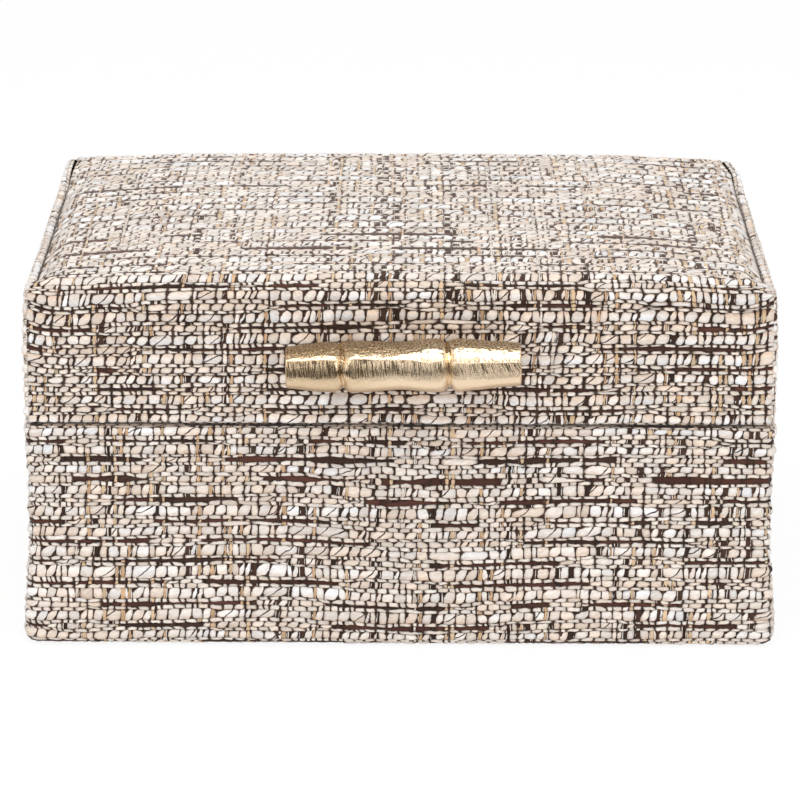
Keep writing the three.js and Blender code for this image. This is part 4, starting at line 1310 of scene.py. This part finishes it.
def makeMetal(name, slot):
    # brushed metal of the posts, the hinges and the screws
    made, wire, shader = material(name, {"Metallic": 1.0})
    place = wire.objectPlace()
    lines = wire.noise(place.scaled((300.0, 2600.0, 2600.0)), 1.0, 3.0, 0.6)
    spots = wire.noise(place, 420.0, 3.0, 0.6)
    feed(shader, "Base Color", spots.ramp(0.35, 0.7).mix(*finishes[slot]["tints"]))
    feed(shader, "Roughness", finishes[slot]["roughness"] + 0.16 * lines + 0.1 * spots)
    feed(shader, "Normal", bump(lines, 0.12, 0.05 * mm))
    return made


def finishNodes():
    made = {
        "board": makeBoard(), "lining": makeSuede(), "felt": makeFelt(),
        "handle_brass": makeMetal("post_brass", "handle_brass"),
        "hinge_brass": makeMetal("satin_brass", "hinge_brass"),
        "steel": makeMetal("zinc_steel", "steel"),
    }
    count = 0
    for subpart in frame["record"]["subparts"]:
        node, slot = subpart["node"], subpart["material_slot"]
        if slot in made and node != "handle_bar":
            piece = frame["nodes"][node]
            for holder in piece.material_slots:
                holder.material = made[slot]
            edge = piece.modifiers.new("eased_edges", "BEVEL")
            edge.width = finishes[slot]["bevel"] * mm
            edge.segments = 2
            edge.limit_method = "ANGLE"
            edge.angle_limit = math.radians(easedAngle)
            count += 1
    print(f"finished {count} nodes")


finishNodes()

# Lights, floor and camera

stage = {
    "floor": 14.0, "floorTints": [(0.9, 0.9, 0.9), (0.92, 0.92, 0.92)], "floorGlow": 0.86, "world": 0.5,
    "lamps": [  # name, place in metres, size and power
        ("overhead", (0.0, -0.35, 1.35), 1.3, 9.5),
        ("frontLeft", (-0.9, -1.3, 0.75), 0.9, 5.2),
        ("frontRight", (0.9, -1.3, 0.7), 0.9, 4.8),
    ],
    "target": (0.0, 0.0, 0.05),
    # cards that only reflections see: place, width, height, turn about the width and glow
    "cards": [
        ("frontFlag", (0.0, -1.25, 0.77), 2.4, 1.54, 90.0, 0.08),
        ("floorFlag", (0.0, -0.71, 0.002), 2.4, 1.08, 0.0, 0.08),
        ("ceilingFlag", (0.0, 0.225, 1.3), 2.4, 1.95, 0.0, 0.22),
        ("reflector", (0.0, -0.625, 1.15), 2.0, 0.2, 27.3, 3.8),
    ],
}


def seenRays(wire):
    # 1 for rays from the camera and for reflections of the surroundings
    path = wire.node("ShaderNodeLightPath")
    return path["Is Camera Ray"].atLeast(path["Is Glossy Ray"]).atLeast(path["Is Transmission Ray"])


def makeFloor():
    bpy.ops.mesh.primitive_plane_add(size=stage["floor"])
    floor = bpy.context.object
    floor.name = "studio_floor"
    made, wire, shader = material("studio_floor", {"Roughness": 0.9, "Specular IOR Level": 0.0})
    feed(shader, "Base Color", wire.noise(wire.objectPlace(), 3.0).mix(*stage["floorTints"]))
    # seen directly, the floor is close to the white of the background and keeps a light shadow
    glow = wire.node("ShaderNodeEmission", links={"Color": (1, 1, 1, 1), "Strength": 1.04})
    lit = Wire(wire.tree, shader.outputs[0])
    share = seenRays(wire) * stage["floorGlow"]
    blend = wire.node("ShaderNodeMixShader", links={0: share, 1: lit, 2: glow})
    feed(wire.tree.nodes["Material Output"], "Surface", blend)
    floor.data.materials.append(made)


def makeCards():
    for name, place, width, height, turn, glow in stage["cards"]:
        bpy.ops.mesh.primitive_plane_add(size=1, location=place, rotation=(math.radians(turn), 0, 0))
        card = bpy.context.object
        card.name = name
        card.scale = (width, height, 1)
        made, _, _ = material(name, {
            "Base Color": (0.02, 0.018, 0.015), "Roughness": 1.0, "Specular IOR Level": 0.0,
            "Emission Color": (1.0, 0.94, 0.84), "Emission Strength": glow,
        })
        card.data.materials.append(made)
        card.visible_camera = False
        card.visible_diffuse = False
        card.visible_transmission = False
        card.visible_shadow = False


def makeStage():
    world = bpy.data.worlds.new("studio")
    bpy.context.scene.world = world
    world.use_nodes = True
    background = world.node_tree.nodes["Background"]
    background.inputs["Color"].default_value = (1, 1, 1, 1)
    strength = stage["world"] + (1 - stage["world"]) * seenRays(Wire(world.node_tree))
    feed(background, "Strength", strength)
    makeFloor()
    makeCards()
    for name, place, size, power in stage["lamps"]:
        lamp = bpy.data.lights.new(name, "AREA")
        lamp.size = size
        lamp.energy = power
        holder = bpy.data.objects.new(name, lamp)
        holder.location = place
        aim = Vector(stage["target"]) - Vector(place)
        holder.rotation_euler = aim.to_track_quat("-Z", "Y").to_euler()
        bpy.context.scene.collection.objects.link(holder)
    print(f"stage: {len(stage['lamps'])} lamps and {len(stage['cards'])} cards")


# place in mm, angles in radians
view = {"place": (2.759, -1006.39, 400.27), "pitch": 0.3363, "yaw": -0.0029, "roll": 0.0030, "lens": 169.3}


def makeCamera():
    camera = bpy.data.cameras.new("camera")
    camera.lens = view["lens"]
    camera.sensor_width = 36
    camera.clip_start = 0.01
    holder = bpy.data.objects.new("camera", camera)
    pitch, yaw, roll = view["pitch"], view["yaw"], view["roll"]
    ahead = Vector((math.sin(yaw) * math.cos(pitch), math.cos(yaw) * math.cos(pitch), -math.sin(pitch)))
    level = Vector((math.cos(yaw), -math.sin(yaw), 0))
    above = level.cross(ahead)
    right = math.cos(roll) * level + math.sin(roll) * above
    up = math.cos(roll) * above - math.sin(roll) * level
    turn = Matrix((right, up, -ahead)).transposed().to_4x4()
    holder.matrix_world = Matrix.Translation(Vector(view["place"]) * mm) @ turn
    bpy.context.scene.collection.objects.link(holder)
    bpy.context.scene.camera = holder


makeStage()
makeCamera()
bpy.context.scene.view_settings.view_transform = "Standard"
